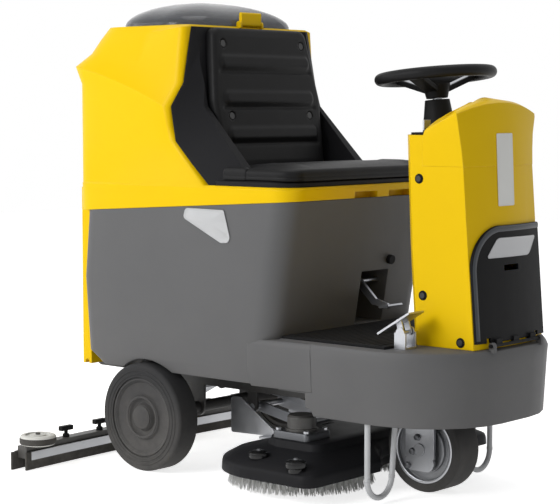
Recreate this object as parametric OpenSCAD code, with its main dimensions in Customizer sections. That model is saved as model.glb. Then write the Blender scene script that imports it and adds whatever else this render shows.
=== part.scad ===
// Ride-on floor scrubber with twin disc brushes, a steered front drive wheel and a rear squeegee.
// X points forward, Y to the driver's left, Z up. The origin lies on the floor under the middle.

/* [Wheels] */
// Distance from the rear axle to the front wheel's axle
wheelbase = 700; // [680:2:730]
// Diameter of the rear wheels
rear_wheel_d = 280; // [264:2:288]
// Width of the rear wheels
rear_wheel_w = 70; // [56:1:76]
// Distance between the outer faces of the rear wheels
rear_track = 628; // [616:2:650]
// Diameter of the rear axle
rear_axle_d = 30; // [24:1:36]
// Diameter of the front drive wheel
drive_wheel_d = 214; // [196:2:218]
// Width of the front drive wheel
drive_wheel_w = 88; // [70:1:92]
// Distance that the steering pivot lies ahead of the front axle
steer_trail = 15; // [8:1:18]

/* [Body] */
// Distance from the rear axle to the nose of the platform
front_reach = 948; // [930:2:980]
// Width of the tanks
body_w = 600; // [580:2:620]
// Height of the platform's top
platform_h = 378; // [370:1:390]
// Width of the platform
platform_w = 568; // [540:2:580]
// Radius of the platform's front corners
platform_corner = 225; // [150:5:235]
// Height of the platform skirt's lower edge
skirt_h = 200; // [190:1:215]
// Thickness of the moulded shells
shell_wall = 6; // [4:0.5:8]
// Height of the lower tank's bottom
tank_floor_h = 262; // [258:1:270]
// Height of the joint between the two tanks, at the rear axle
seam_h = 681; // [676:1:690]
// Distance from the rear axle back to the upper tank's rear lip
tank_back = 288; // [280:1:300]
// Height of the flat top of the upper tank
tower_h = 1147; // [1140:1:1170]
// Wall of the upper tank
tank_wall = 14; // [8:1:18]
// Height of the clear dome over the tank's top
dome_rise = 61; // [50:1:80]

/* [Seat] */
// Height of the bench under the seat cushion
bench_h = 745; // [742:1:752]
// Thickness of the seat cushion at its sides
cushion_t = 30; // [22:1:40]
// Height by which the cushion's middle rises over its sides
cushion_crown = 12; // [6:1:18]
// Thickness of the backrest pad
backrest_t = 30; // [24:1:36]
// Depth of the pad's cross channels
channel_depth = 6; // [3:0.5:8]
// Lean of the backrest from the vertical
backrest_lean = 9.6; // [8:0.2:11]

/* [Steering] */
// Diameter of the steering wheel
steering_d = 296; // [270:2:320]
// Thickness of the steering wheel's rim
rim_t = 28; // [22:1:32]
// Height of the steering wheel's centre
steering_h = 1013; // [1005:1:1040]
// Tilt of the steering wheel towards the driver
steering_tilt = 5.5; // [3:0.5:7]
// Half width of the steering column
column_half_w = 146; // [140:1:152]
// Distance of the dash below the steering wheel's centre
dash_drop = 140; // [132:1:145]
// Rise of the hood in front of the dash
hood_rise = 79; // [60:1:90]
// Diameter of the steering shaft
shaft_d = 22; // [18:1:26]

/* [Brushes] */
// Diameter of each disc brush
brush_d = 358; // [330:2:360]
// Distance of the brush centres from the middle plane
brush_y = 182; // [180:1:188]
// Distance of the brush centres ahead of the rear axle
brush_x = 430; // [420:1:434]
// Height of the bristle tips over the floor
brush_lift = 13; // [12:0.5:16]
// Length of the bristles
bristle_l = 34; // [28:1:36]
// Rows of tufts on each brush
tuft_rows = 4; // [3:1:5]
// Tufts in the outer row
tufts_outer = 58; // [40:1:60]

/* [Squeegee] */
// Length of the squeegee's blades
squeegee_l = 1048; // [1000:2:1080]
// Distance of the squeegee behind the rear axle
squeegee_x = 266; // [262:1:272]
// Radius of the squeegee's bow
squeegee_bow = 6000; // [5000:100:9000]
// Thickness of the squeegee's rubber blades
blade_t = 5; // [3:0.5:6]
// Diameter of the guide rollers at the squeegee's ends
roller_d = 94; // [80:1:98]

/* [Guards] */
// Diameter of the anti-tip bars
guard_rod_d = 14; // [10:1:16]
// Distance of each anti-tip bar's middle from the middle plane
guard_y = 209; // [206:1:214]
// Height of the anti-tip bars over the floor
guard_lift = 8; // [4:1:16]

/* [Fits] */
// Radial clearance of shafts and pins in their holes
fit_gap = 0.05; // [0.02:0.01:0.08]
// Gap between pieces that lie against each other
lay_gap = 0.3; // [0.2:0.05:0.4]

/* [Hidden] */
$fn = 48;

yellow = [0.96, 0.76, 0.08];
grey = [0.42, 0.42, 0.43];
black = [0.13, 0.13, 0.13];
rubber = [0.2, 0.2, 0.2];
steel = [0.72, 0.73, 0.75];
smoke = [0.35, 0.36, 0.38];
white = [0.92, 0.92, 0.9];

// Lengths along X in the modules count from the rear axle, and at_axle moves them to the origin
inlet_l = 38;
axle_x = (tank_back + inlet_l - front_reach) / 2;
body_half = body_w / 2;
rear_r = rear_wheel_d / 2;
drive_r = drive_wheel_d / 2;
axle_r = rear_axle_d / 2;
kingpin_x = wheelbase + steer_trail;

// Frame rails and the plate that carries the steering head
rail_y = 80;
rail_w = 40;
rail_h = 60;
rail_top = tank_floor_h;
rail_z = rail_top - rail_h;
rail_front = 560;
rail_back = -222;
plate_t = 12;
head_r = 42;
bearing_r = 30;
kingpin_r = 20;
bracket_t = 8;
platform_t = 8;
head_z = platform_h - platform_t - plate_t;
fork_gap = 6;
fork_t = 8;
fork_y = drive_wheel_w / 2 + fork_gap;
crown_z = drive_wheel_d + 22;
head_bottom = crown_z + plate_t + 14;

// Lower tank and the slope of the joint over it
seam_slope = 0.0627;
tank_front = 488;
tank_rear = 240;
function seam_at(x) = seam_h + seam_slope * x;
bay_back = -35;
bay_front = 317;
bay_half = 186;
bay_floor = 400;
battery_h = 232;
vac_x = -125;
vac_r = 72;
vac_floor = 500;

// Upper tank: each row is a level with its rear and front height, rear, front, half width and corners
tail_t = 32;
tail_z = 250;
tail_half = 250;
tail_x = -tank_back + 6;
hinge_x = tail_x + tail_t / 2;
hinge_z = tail_z + 4;
hinge_r = 7;
hinge_boss_r = 15;
tower_rows = [
    [bench_h - 8, bench_h - 8, 26 - tank_back, 224, body_half - 2, 60, 22],
    [853, 853, 26 - tank_back, 112, body_half - 2, 60, 22],
    [1000, 888, 24 - tank_back, 96, body_half - 3, 60, 22],
    [1046, 933, -tank_back, 90, body_half + 2, 70, 22],
    [1080, 993, 22 - tank_back, 104, body_half - 30, 80, 22],
    [1114, tower_h - 6, 33 - tank_back, 104, body_half - 44, 95, 20],
    [tower_h, tower_h, 50 - tank_back, 100, body_half - 62, 95, 18]];
lid_x = -66;
lid_a = 158;
lid_b = 226;
lid_lip = 6;
gasket_t = 3;
lid_z = tower_h + gasket_t;
mouth_a = lid_a - 24;
mouth_b = lid_b - 34;
lid_wall = 4;
lid_hinge_x = lid_x - lid_a - 8;
lid_hinge_z = lid_z + 6;
lid_hinge_r = 4;
latch_x = 100;
latch_z = tower_h + 7;
latch_half = 38;
inlet_z = 905;
inlet_r = 22;
inlet_free = inlet_l + 18;

// Seat: the pad's plane passes through these two points of its back
pad_low = 772;
pad_top = 1140;
pad_ref_x = 115;
pad_ref_z = 1095;
function pad_x(z) = pad_ref_x + (pad_ref_z - z) * tan(backrest_lean);
bucket_half = 216;
wing_top = 940;
shell_t = 14;
seat_z = bench_h + lay_gap + shell_t;
bolt_head_r = 9;
bolt_rows = [911, 1095];
bolt_y = 154;

// Steering: the ball joint under the dash is where the tilted stub meets the upright shaft
dash_h = steering_h - dash_drop;
joint_z = dash_h - 30;
ball_r = 17;
socket_r = 24;
stub_l = (steering_h - joint_z) / cos(steering_tilt);
wheel_x = kingpin_x - (steering_h - joint_z) * tan(steering_tilt);
rim_r = steering_d / 2 - rim_t / 2;
hub_drop = 34;
hub_r = 30;
spoke_angles = [168, 79, -80];
spoke_w = 34;
shaft_r = shaft_d / 2;
neck_r = 36;
column_bulge = 65;

// Each row of the column has its height, rear corner, front corner and the bow of its front
column_rows = [
    [platform_h + lay_gap, 756, 916, 12],
    [611, 740, 897, 14],
    [dash_h, 729, 877, 22]];
hatch_t = 6;
hatch_gap = 0.8;
hatch_top = 662;
hatch_corner = 108;
hatch_low = platform_h + 15;
hatch_hinge_x = 938;
hatch_hinge_z = platform_h + 9;
knuckle_w = 24;
hatch_pin_r = 4;
pedal_x = 768;
pedal_y = -210;
pedal_w = 60;
pedal_pin_z = platform_h + 38;
pedal_pin_r = 4;
cheek_t = 4;
mat_t = 6;
mat_front = 745;
lever_x = 415;
lever_z = 492;
lever_r = 5;
recess_y0 = 28;
recess_y1 = 140;
recess_z0 = platform_h + 8;
recess_z1 = 521;
recess_depth = 72;

// Brush deck on its parallel arms
deck_r = brush_d / 2 + 12;
deck_skirt = 22;
deck_t = 8;
brush_back_t = 10;
brush_z = brush_lift + bristle_l;
deck_z = brush_z + brush_back_t + 15;
motor_r = 58;
motor_h = 84;
spindle_r = 10;
arm_ax = 170;
arm_az = rail_z - 46;
arm_dx = 160;
arm_dz = -30;
link_rise = 36;
arm_pin_r = 8;
link_pin_r = 5;
arm_y = 42;
ear_y = 30;

// Squeegee arm, its lift pivot behind the axle and its upright swing pivot
lift_x = -66;
lift_z = rail_z - 24;
swing_x = -208;
swing_r = 10;
channel_z = 30;
channel_h = 32;
channel_half = 16;
plate_z = channel_z + channel_h;
arm_block_z = plate_z + 36;
blade_lift = 1;
blade_h = 46;
blade_half = squeegee_l / 2;
bow_x = squeegee_bow - squeegee_x;
function bow_at(y) = bow_x - sqrt(squeegee_bow * squeegee_bow - y * y);
roller_y = blade_half - roller_d / 2;
roller_h = 26;
roller_bore_r = 6;
knob_rows = [85, 212, 340];

module at_axle() translate([axle_x, 0, 0]) children();
module both_sides() {
    children();
    mirror([0, 1, 0]) children();
}
module block(low, high) translate(low) cube(high - low);
module rod_y(x, z, r, y0, y1) translate([x, y0, z]) rotate([-90, 0, 0]) cylinder(r = r, h = y1 - y0);
module plate_y(y0, y1) translate([0, y1, 0]) rotate([90, 0, 0]) linear_extrude(y1 - y0) children();
// A flat link in the XZ plane between two round ends
module link_shape(a, b, r) {
    d = b - a;
    turn = atan2(d[1], d[0]);
    for (p = [a, b]) translate(p) circle(r);
    translate(a) rotate(turn) translate([0, -r]) square([norm(d), 2 * r]);
}
module along_tilt() translate([kingpin_x, 0, joint_z]) rotate([0, -steering_tilt, 0]) children();

// Outline points, counter-clockwise from above, of a plan with rounded corners
corner_steps = 6;
side_steps = 6;
function arc(x, y, r, from, to) =
    [for (k = [0 : corner_steps]) let (t = from + (to - from) * k / corner_steps)
        [x + r * cos(t), y + r * sin(t)]];
function run(x0, x1, y) = [for (k = [1 : side_steps - 1]) [x0 + (x1 - x0) * k / side_steps, y]];
function plan(back, front, half, r_back, r_front) = concat(
    arc(front - r_front, half - r_front, r_front, 0, 90), run(front - r_front, back + r_back, half),
    arc(back + r_back, half - r_back, r_back, 90, 180), arc(back + r_back, r_back - half, r_back, 180, 270),
    run(back + r_back, front - r_front, -half), arc(front - r_front, r_front - half, r_front, 270, 360));
function level(points, z) = [for (p = points) [p[0], p[1], z]];
function sloped(points, z, slope) = [for (p = points) [p[0], p[1], z + slope * p[0]]];
// The height runs from the rear value to the front value, falling off faster towards the front
function swept(points, back, front, z_back, z_front) = [for (p = points)
    let (u = max((p[0] - back) / (front - back), 0)) [p[0], p[1], z_back + (z_front - z_back) * pow(u, 1.5)]];
function ellipse(x, a, b, z, n) = [for (k = [0 : n - 1]) [x + a * cos(360 * k / n), b * sin(360 * k / n), z]];

// A closed skin through rings that have the same number of points. The ends of a thin bowed ring are
// closed by a strip between its two long sides, and other ends by a fan
module loft(rings, strip = false) {
    n = len(rings[0]);
    m = len(rings);
    last = (m - 1) * n;
    sides = [for (j = [0 : m - 2], i = [0 : n - 1]) let (k = (i + 1) % n)
        each [[j * n + i, (j + 1) * n + i, (j + 1) * n + k], [j * n + i, (j + 1) * n + k, j * n + k]]];
    low_cap = strip ? [for (i = [0 : n / 2 - 2]) each [[i, i + 1, n - 2 - i], [i, n - 2 - i, n - 1 - i]]]
        : [for (i = [1 : n - 2]) [0, i, i + 1]];
    top_cap = [for (f = low_cap) [f[2] + last, f[1] + last, f[0] + last]];
    polyhedron(points = [for (r = rings) each r], faces = concat(low_cap, sides, top_cap));
}

// A hanging bracket under a rail, bored along Y for a pivot
module hanger(x, z, r, y0, y1, top = rail_z + 1) plate_y(y0, y1) difference() {
    union() {
        translate([x, z]) circle(r + 8);
        translate([x - r - 8, z]) square([2 * r + 16, top - z]);
    }
    translate([x, z]) circle(r + fit_gap);
}

// Frame, rear axle and steering head
module chassis_frame() color(black) at_axle() {
    outer = rail_y + rail_w / 2;
    both_sides() {
        block([rail_back, rail_y - rail_w / 2, rail_z], [rail_front, outer, rail_top]);
        block([rail_front - 40, rail_y - rail_w / 2, rail_top - 1], [rail_front, outer, head_z]);
        hanger(0, rear_r, axle_r, outer - bracket_t, outer);
        hanger(arm_ax, arm_az, arm_pin_r, rail_y - 16, rail_y - 16 + bracket_t);
        hanger(lift_x, lift_z, arm_pin_r, rail_y - 16, rail_y - 16 + bracket_t);
        plate_y(190, 190 + bracket_t) difference() {
            union() {
                translate([hinge_x, hinge_z]) circle(hinge_boss_r);
                translate([hinge_x, hinge_z - hinge_boss_r]) square([rail_back - hinge_x, 2 * hinge_boss_r]);
            }
            translate([hinge_x, hinge_z]) circle(hinge_r + fit_gap);
        }
        block([rail_back, outer - 1, hinge_z - hinge_boss_r], [rail_back + 40, 190 + bracket_t, hinge_z - 1]);
    }
    for (x = [rail_back, 90, rail_front - 40])
        block([x, 1 - rail_y, rail_z + 10], [x + 40, rail_y - 1, rail_top - 10]);
    block([arm_ax - 14, 1 - rail_y, rail_z + 14], [arm_ax + 14, rail_y - 1, rail_top - 10]);
    both_sides() hanger(arm_ax, arm_az + link_rise, link_pin_r, 7, 13, rail_z + 20);
}

module rear_axle() color(steel) at_axle() rod_y(0, rear_r, axle_r, -rear_track / 2 + 4, rear_track / 2 - 4);

module head_plate() color(black) at_axle() difference() {
    union() {
        block([rail_front - 60, -110, head_z], [kingpin_x + 120, 110, head_z + plate_t]);
        translate([kingpin_x, 0, head_bottom]) cylinder(r = head_r, h = head_z - head_bottom + 1);
    }
    translate([kingpin_x, 0, head_bottom - 1])
        cylinder(r = bearing_r + fit_gap, h = head_z + plate_t - head_bottom + 2);
}

module head_bearings() color(steel) at_axle() for (z = [head_bottom, head_z + plate_t - 22])
    translate([kingpin_x, 0, z]) difference() {
        cylinder(r = bearing_r, h = 20);
        translate([0, 0, -1]) cylinder(r = kingpin_r + fit_gap, h = 22);
    }

// Lower tank with its battery bay, the pocket of the vacuum motor and the wheel arches
function lower_ring(back, front, half, z) = level(plan(back, front, half, 45, 62), z);
module solution_tank() color(grey) at_axle() difference() {
    loft([
        lower_ring(-tank_rear + 52, tank_front - 78, body_half - 12, tank_floor_h),
        lower_ring(-tank_rear + 12, tank_front - 72, body_half - 1, tank_floor_h + 34),
        lower_ring(-tank_rear, tank_front - 40, body_half + 2, 490),
        sloped(plan(-tank_rear + 14, tank_front - 2, body_half, 45, 62), seam_h, seam_slope)]);
    block([bay_back, -bay_half, bay_floor], [bay_front, bay_half, seam_h + 60]);
    translate([vac_x, 0, vac_floor]) cylinder(r = vac_r + 8, h = 250);
    both_sides() rod_y(0, rear_r, rear_r + 10, rear_track / 2 - rear_wheel_w - 12, body_half + 20);
    block([tank_front - 78 - recess_depth, recess_y0, recess_z0], [tank_front + 10, recess_y1, recess_z1]);
    rod_y(lever_x, lever_z, lever_r + fit_gap, recess_y0 - 12, recess_y1 + 12);
    along_stop() translate([0, 0, -14]) cylinder(r = 5 + fit_gap, h = 40);
}
// The rubber stop stands square on the sloping front of the lower tank
stop_z = 547;
stop_y = 137;
front_lean = atan2(38, seam_at(tank_front) - 490);
module along_stop() translate([tank_front - 40 + (stop_z - 490) * tan(front_lean), stop_y, stop_z])
    rotate([0, 90 + front_lean, 0]) children();
module rubber_stop() color(black) at_axle() along_stop() {
    translate([0, 0, lay_gap]) cylinder(r = 12, h = 11);
    translate([0, 0, -12]) cylinder(r = 5, h = 14);
}

module batteries() color([0.16, 0.16, 0.18]) at_axle() both_sides() {
    gap = 5;
    block([bay_back + gap, gap, bay_floor], [bay_front - gap, bay_half - gap, bay_floor + battery_h]);
    for (x = [bay_back + 50, bay_front - 50])
        translate([x, bay_half / 2, bay_floor + battery_h - 1]) cylinder(r = 9, h = 16);
}

module vacuum_motor() color([0.3, 0.3, 0.32]) at_axle() translate([vac_x, 0, vac_floor]) {
    cylinder(r = vac_r, h = 70);
    translate([0, 0, 69]) cylinder(r = vac_r - 18, h = 60);
    translate([0, 0, 128]) cylinder(r = 22, h = seam_at(vac_x) - vac_floor - 128 - lay_gap - 4);
}

// Platform with a hollow skirt, a mat on top and lugs for the front hatch
platform_back = tank_front - 56;
function deck_ring(inset, z) = level(plan(platform_back, front_reach - inset, platform_w / 2 - inset, 8,
    platform_corner - inset), z);
module platform() color(grey) at_axle() {
    difference() {
        loft([deck_ring(10, skirt_h), deck_ring(2, platform_h - 40), deck_ring(0, platform_h - 16),
            deck_ring(5, platform_h - 4), deck_ring(14, platform_h)]);
        loft([deck_ring(10 + shell_wall, skirt_h - 1), deck_ring(6 + shell_wall, platform_h - 40),
            deck_ring(7 + shell_wall, platform_h - platform_t)]);
        block([tank_front - 70, -platform_w, skirt_h - 5], [tank_front + 32, platform_w, tank_floor_h - 8]);
        translate([tank_front + 32, platform_w, skirt_h - 5]) rotate([90, 0, 0])
            cylinder(r = 24, h = 2 * platform_w);
        translate([kingpin_x, 0, platform_h - 30]) cylinder(r = kingpin_r + 8, h = 60);
    }
    both_sides() plate_y(96, 106) difference() {
        union() {
            translate([hatch_hinge_x, hatch_hinge_z]) circle(hatch_pin_r + 4);
            translate([hatch_hinge_x - 8, platform_h - 7]) square([16, hatch_hinge_z - platform_h + 7]);
        }
        translate([hatch_hinge_x, hatch_hinge_z]) circle(hatch_pin_r + fit_gap);
    }
}

module floor_mat() color(black) at_axle() difference() {
    block([platform_back + 2, 24 - platform_w / 2, platform_h],
        [mat_front, platform_w / 2 - 24, platform_h + mat_t]);
    translate([column_arc_x(column_rows[0][1]), 0, platform_h - 1]) cylinder(r = column_arc_r + 2, h = 20);
    for (x = [tank_front - 30 : 16 : mat_front - 20])
        block([x, 40 - platform_w / 2, platform_h + mat_t - 2],
            [x + 6, platform_w / 2 - 40, platform_h + 20]);
}

// Two bent rods beside the front wheel that stop the machine from tipping
guard_x = wheelbase - 6;
guard_in = 79;
guard_bend = 48;
collar_turn = 1.2;
module anti_tip_bars() color(white) at_axle() both_sides() translate([guard_x, guard_y, 0]) {
    r = guard_rod_d / 2;
    low = guard_lift + r;
    top = platform_h - platform_t - lay_gap;
    lean = atan2(guard_in - guard_bend, top - low - guard_bend);
    leg_z = low + guard_bend * (1 - sin(lean));
    translate([0, 0, low + guard_bend]) rotate([90, 0, -90]) rotate(-lean - collar_turn)
        rotate_extrude(angle = lean + 2 * collar_turn - 180) translate([guard_bend, 0]) circle(r);
    translate([0, guard_bend, low + guard_bend]) guard_leg(r, top - low - guard_bend);
    translate([0, -guard_bend * cos(lean), leg_z]) rotate([lean, 0, 0])
        guard_leg(r, (top - leg_z - r * sin(lean)) / cos(lean));
}
// A welded collar joins each straight leg to the bend
module guard_leg(r, h) {
    translate([0, 0, 1]) cylinder(r = r, h = h - 1);
    translate([0, 0, -3]) cylinder(r = r + 0.8, h = 7);
}

// Steering column: a moulded cover with a hood, a dash and a hatch in front
column_arc_r = (column_half_w * column_half_w + column_bulge * column_bulge) / (2 * column_bulge);
function column_arc_x(corner) = corner - column_bulge + column_arc_r;
function front_corner(z) = lookup(z, [for (r = column_rows) [r[0], r[2]]]);
function front_bow(z) = lookup(z, [for (r = column_rows) [r[0], r[3]]]);
function front_x(z, y) = front_corner(z) + front_bow(z) * (1 - y * y / (column_half_w * column_half_w));
span_steps = 10;
function span(half) = [for (k = [0 : span_steps]) half * (2 * k / span_steps - 1)];
function column_ring(row, inset, z) = let (half = column_half_w - inset, r = column_arc_r - inset) concat(
    [for (y = span(half)) [front_x(row[0], y) - inset, y, z]],
    [for (y = span(half)) [column_arc_x(row[1]) - sqrt(r * r - y * y), -y, z]]);
// Heights on the hood fall off from its middle to its sides
function hood_ring(back, corner, bow, half, back_z, front_z, arch) = concat(
    [for (y = span(half)) let (u = 1 - y * y / (half * half)) [corner + bow * u, y, front_z + arch * u]],
    [for (y = span(half)) let (u = 1 - y * y / (half * half)) [back, -y, back_z + arch * u]]);
screw_places = [[758, dash_h - 102], [771, 497], [879, 394]];
screw_r = 3;
dash_t = 5;
hood_back = 766;
hood_side = 37;

module column_cover() color(yellow) at_axle() difference() {
    union() {
        loft([for (row = column_rows) column_ring(row, 0, row[0])]);
        loft([
            hood_ring(hood_back, 876, 21, column_half_w - 1, dash_h - 2, dash_h - 2, 0),
            hood_ring(hood_back + 26, 843, 43, column_half_w - 6, dash_h + 18, dash_h + hood_side,
                hood_rise - hood_side)]);
    }
    loft([
        column_ring(column_rows[0], shell_wall, platform_h - 1),
        column_ring(column_rows[1], shell_wall, column_rows[1][0]),
        column_ring(column_rows[2], shell_wall, dash_h - shell_wall)]);
    along_tilt() cylinder(r = socket_r + 4, h = 60);
    block([870, -112, platform_h + 44], [960, 112, hatch_top - 34]);
    for (p = screw_places) rod_y(p[0], p[1], screw_r + fit_gap, -200, 200);
    for (p = control_places) translate([p[0], p[1], dash_h - 20]) cylinder(r = 9, h = 40);
}

// Places of the key, the drive selector and the horn button on the dash
control_places = [[734, -84], [708, 84], [746, 84]];
module dash_panel() color(black) at_axle() {
    neck_top = stub_l - hub_drop - 24;
    difference() {
        union() {
            intersection() {
                translate([column_arc_x(column_rows[2][1]), 0, dash_h])
                    cylinder(r = column_arc_r - 8, h = dash_t);
                block([600, 12 - column_half_w, dash_h],
                    [hood_back - 4, column_half_w - 12, dash_h + dash_t]);
            }
            intersection() {
                along_tilt() cylinder(r1 = neck_r + 10, r2 = neck_r - 6, h = neck_top);
                block([600, -100, dash_h + 1], [hood_back - 4, 100, steering_h]);
            }
        }
        along_tilt() translate([0, 0, -20]) cylinder(r = shaft_r + 2, h = stub_l);
        for (p = control_places) translate([p[0], p[1], dash_h - 20]) cylinder(r = 6 + fit_gap, h = 40);
    }
}

module motor_controller() color([0.55, 0.56, 0.58]) at_axle() {
    block([800, -80, platform_h], [846, 80, platform_h + 170]);
    for (y = [-72 : 16 : 72]) block([845, y - 3, platform_h + 10], [862, y + 3, platform_h + 160]);
}

module column_screws() color(black) at_axle() both_sides() for (p = screw_places) {
    rod_y(p[0], p[1], 7, column_half_w, column_half_w + 4);
    rod_y(p[0], p[1], screw_r, column_half_w - shell_wall - 6, column_half_w + 1);
}

// Hatch on the front of the column, turning on a rod along its lower edge
function hatch_ring(z) = let (half = column_half_w - 2) concat(
    [for (y = span(half)) [front_x(z, y) + hatch_gap + hatch_t, y, z]],
    [for (y = span(half)) [front_x(z, y) + hatch_gap, -y, z]]);
module front_hatch() color(black) at_axle() {
    corner_y = hatch_corner - column_half_w;
    corner_z = hatch_top - hatch_corner;
    difference() {
        loft([hatch_ring(hatch_low), hatch_ring(column_rows[1][0]), hatch_ring(hatch_top)], strip = true);
        difference() {
            block([800, -column_half_w - 10, corner_z], [1000, corner_y, hatch_top + 10]);
            translate([790, corner_y, corner_z]) rotate([0, 90, 0]) cylinder(r = hatch_corner, h = 220);
        }
        for (s = [-1, 1]) block([800, s * 101 - 7, 300], [1000, s * 101 + 7, hatch_low + 11]);
        block([800, -30, 556], [1000, 30, 570]);
    }
    rod_y(hatch_hinge_x, hatch_hinge_z, hatch_pin_r, -112, 112);
    for (y = [-72, 0, 72])
        block([front_x(hatch_low, y) + hatch_gap + hatch_t / 2, y - knuckle_w / 2, hatch_hinge_z - 3],
            [hatch_hinge_x, y + knuckle_w / 2, hatch_low + 9]);
}

// Pedals
module pedal_bracket() color(steel) at_axle() translate([pedal_x, pedal_y, 0]) {
    both_sides() plate_y(18, 18 + cheek_t) difference() {
        union() {
            translate([-16, platform_h]) square([32, pedal_pin_z - platform_h]);
            translate([0, pedal_pin_z]) circle(12);
        }
        translate([0, pedal_pin_z]) circle(pedal_pin_r + fit_gap);
    }
    block([-16, -19, platform_h], [16, 19, platform_h + cheek_t]);
}

module accelerator_pedal() color(steel) at_axle() translate([pedal_x, pedal_y, 0]) {
    low = [-58, platform_h + 33];
    high = [29, platform_h + 86];
    plate_y(-pedal_w / 2, pedal_w / 2) link_shape(low, high, 2.5);
    for (s = [-1, 1]) plate_y(s * 14 - 2, s * 14 + 2) {
        link_shape([0, pedal_pin_z], [-8, platform_h + 62], 8);
    }
    rod_y(0, pedal_pin_z, pedal_pin_r, -18 - cheek_t, 18 + cheek_t);
}

module lift_lever() color(steel) at_axle() {
    pad = [lever_x + 90, lever_z - 58];
    rod_y(lever_x, lever_z, lever_r, recess_y0 - 10, recess_y1 + 10);
    plate_y(62, 70) {
        link_shape([lever_x, lever_z], [lever_x + 50, lever_z - 48], 10);
        link_shape([lever_x + 50, lever_z - 48], pad, 8);
    }
    plate_y(36, 96) link_shape(pad, pad + [24, 4], 3.5);
}

// Upper tank, tilting back on the pin at the foot of its tail
function tower_ring(row, inset) = let (b = row[2] + inset, f = row[3] - inset)
    swept(plan(b, f, row[4] - inset, row[5], row[6]), b, f, row[0], row[1]);
module lid_ear(x, z, r, y0, y1) plate_y(y0, y1) difference() {
    union() {
        translate([x, z]) circle(r + 4);
        translate([x - r - 4, tower_h - 3]) square([2 * r + 8, z - tower_h + 3]);
    }
    translate([x, z]) circle(r + fit_gap);
}
// Recess in the tank's sloping front that takes the back of the seat shell
recess_top = 840;
module seat_recess(gap) plate_y(-bucket_half - gap, bucket_half + gap) polygon([
    [pad_x(recess_top) - shell_t, recess_top], [pad_x(bench_h) - shell_t, bench_h],
    [tank_front, bench_h], [tank_front, recess_top]]);
module recovery_tank() color(yellow) at_axle() {
    last = len(tower_rows) - 1;
    mouth = plan(lid_x - mouth_a, lid_x + mouth_a, mouth_b, 90, 90);
    difference() {
        union() {
            loft([for (row = tower_rows) tower_ring(row, 0)]);
            difference() {
                loft([
                    sloped(plan(27 - tank_back, tank_front, body_half - 1, 60, 62), seam_h + lay_gap,
                        seam_slope),
                    level(plan(26 - tank_back, tank_front + 3, body_half, 60, 62), bench_h - 6),
                    level(plan(30 - tank_back, tank_front, body_half - 4, 60, 62), bench_h)]);
                block([bay_back, -250, 600], [440, 250, bench_h - tank_wall]);
                for (y = [0, 140])
                    block([tank_front - 24, y - 46, 600], [tank_front + 40, y + 46, seam_at(tank_front) + 16]);
            }
            block([tail_x, -tail_half, tail_z], [tail_x + tail_t, tail_half, bench_h - 20]);
            rod_y(hinge_x, hinge_z, hinge_boss_r, -186, 186);
        }
        seat_recess(lay_gap);
        loft(concat(
            [level(plan(40 - tank_back, 138, body_half - 20, 60, 22), bench_h + 10)],
            [for (k = [1 : last - 1]) tower_ring(tower_rows[k], tank_wall)],
            [level(mouth, tower_h - tank_wall), level(mouth, tower_h + 1)]));
        rod_y(hinge_x, hinge_z, hinge_r + fit_gap, -300, 300);
        both_sides() block([-400, 187, 0], [tail_x + tail_t + 1, 201, hinge_z + hinge_boss_r + 4]);
        translate([0, 0, inlet_z]) rotate([0, -90, 0]) cylinder(r = inlet_r - 2 + fit_gap, h = 400);
    }
    both_sides() lid_ear(lid_hinge_x, lid_hinge_z, lid_hinge_r, 40, 48);
    both_sides() lid_ear(latch_x, latch_z, lid_hinge_r, latch_half + 1, latch_half + 7);
}

module tank_hinge_pin() color(steel) at_axle() rod_y(hinge_x, hinge_z, hinge_r, -206, 206);

module lid_gasket() color(black) at_axle() difference() {
    loft([for (z = [tower_h, lid_z]) ellipse(lid_x, lid_a - 5, lid_b - 5, z, 40)]);
    loft([for (z = [tower_h - 1, lid_z + 1]) ellipse(lid_x, lid_a - 19, lid_b - 19, z, 40)]);
}

// Standpipe that draws the air, with a float cage at its top
module float_standpipe() color([0.25, 0.25, 0.27]) at_axle() translate([10, -120, bench_h + 10]) {
    difference() {
        union() {
            cylinder(r = 26, h = 250);
            translate([0, 0, 249]) cylinder(r = 40, h = 80);
        }
        translate([0, 0, -1]) cylinder(r = 21, h = 252);
        translate([0, 0, 255]) cylinder(r = 36, h = 69);
        for (k = [0 : 5]) rotate(60 * k) block([20, -12, 268], [60, 12, 312]);
    }
}

// Spigot for the suction hose, with a flange against the tank's rear wall
module suction_inlet() color(black) at_axle() translate([-tank_back - inlet_l, 0, inlet_z]) rotate([0, 90, 0])
    difference() {
        union() {
            cylinder(r = inlet_r, h = inlet_free);
            translate([0, 0, inlet_free - 0.5]) cylinder(r = inlet_r + 8, h = inlet_l + 25 - inlet_free);
            cylinder(r = inlet_r - 2, h = inlet_l + 25 + tank_wall + 8);
        }
        translate([0, 0, -1]) cylinder(r = inlet_r - 5, h = 200);
    }

// Clear lid with a turned-down flange and a hinge barrel behind
function dome_ring(share, inset, lift) = ellipse(lid_x, (lid_a - inset) * share, (lid_b - inset) * share,
    lid_z + lid_lip + lift + dome_rise * pow(1 - share * share, 0.6), 40);
module dome_lid() color(smoke) at_axle() {
    shares = [0.95, 0.9, 0.8, 0.65, 0.45, 0.2];
    difference() {
        loft(concat([for (z = [lid_z, lid_z + lid_lip]) ellipse(lid_x, lid_a, lid_b, z, 40)],
            [for (s = shares) dome_ring(s, 0, 0)]));
        loft(concat([ellipse(lid_x, lid_a * 0.93, lid_b * 0.93, lid_z - 1, 40)],
            [for (s = shares) dome_ring(s, lid_wall * 2, -lid_wall)]));
    }
    rod_y(lid_hinge_x, lid_hinge_z, lid_hinge_r, -49, 49);
    rod_y(lid_hinge_x, lid_hinge_z, lid_hinge_r + 4, -38, 38);
    block([lid_hinge_x, -38, lid_z + 2], [lid_x - lid_a + 9, 38, lid_z + lid_lip]);
}

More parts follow.
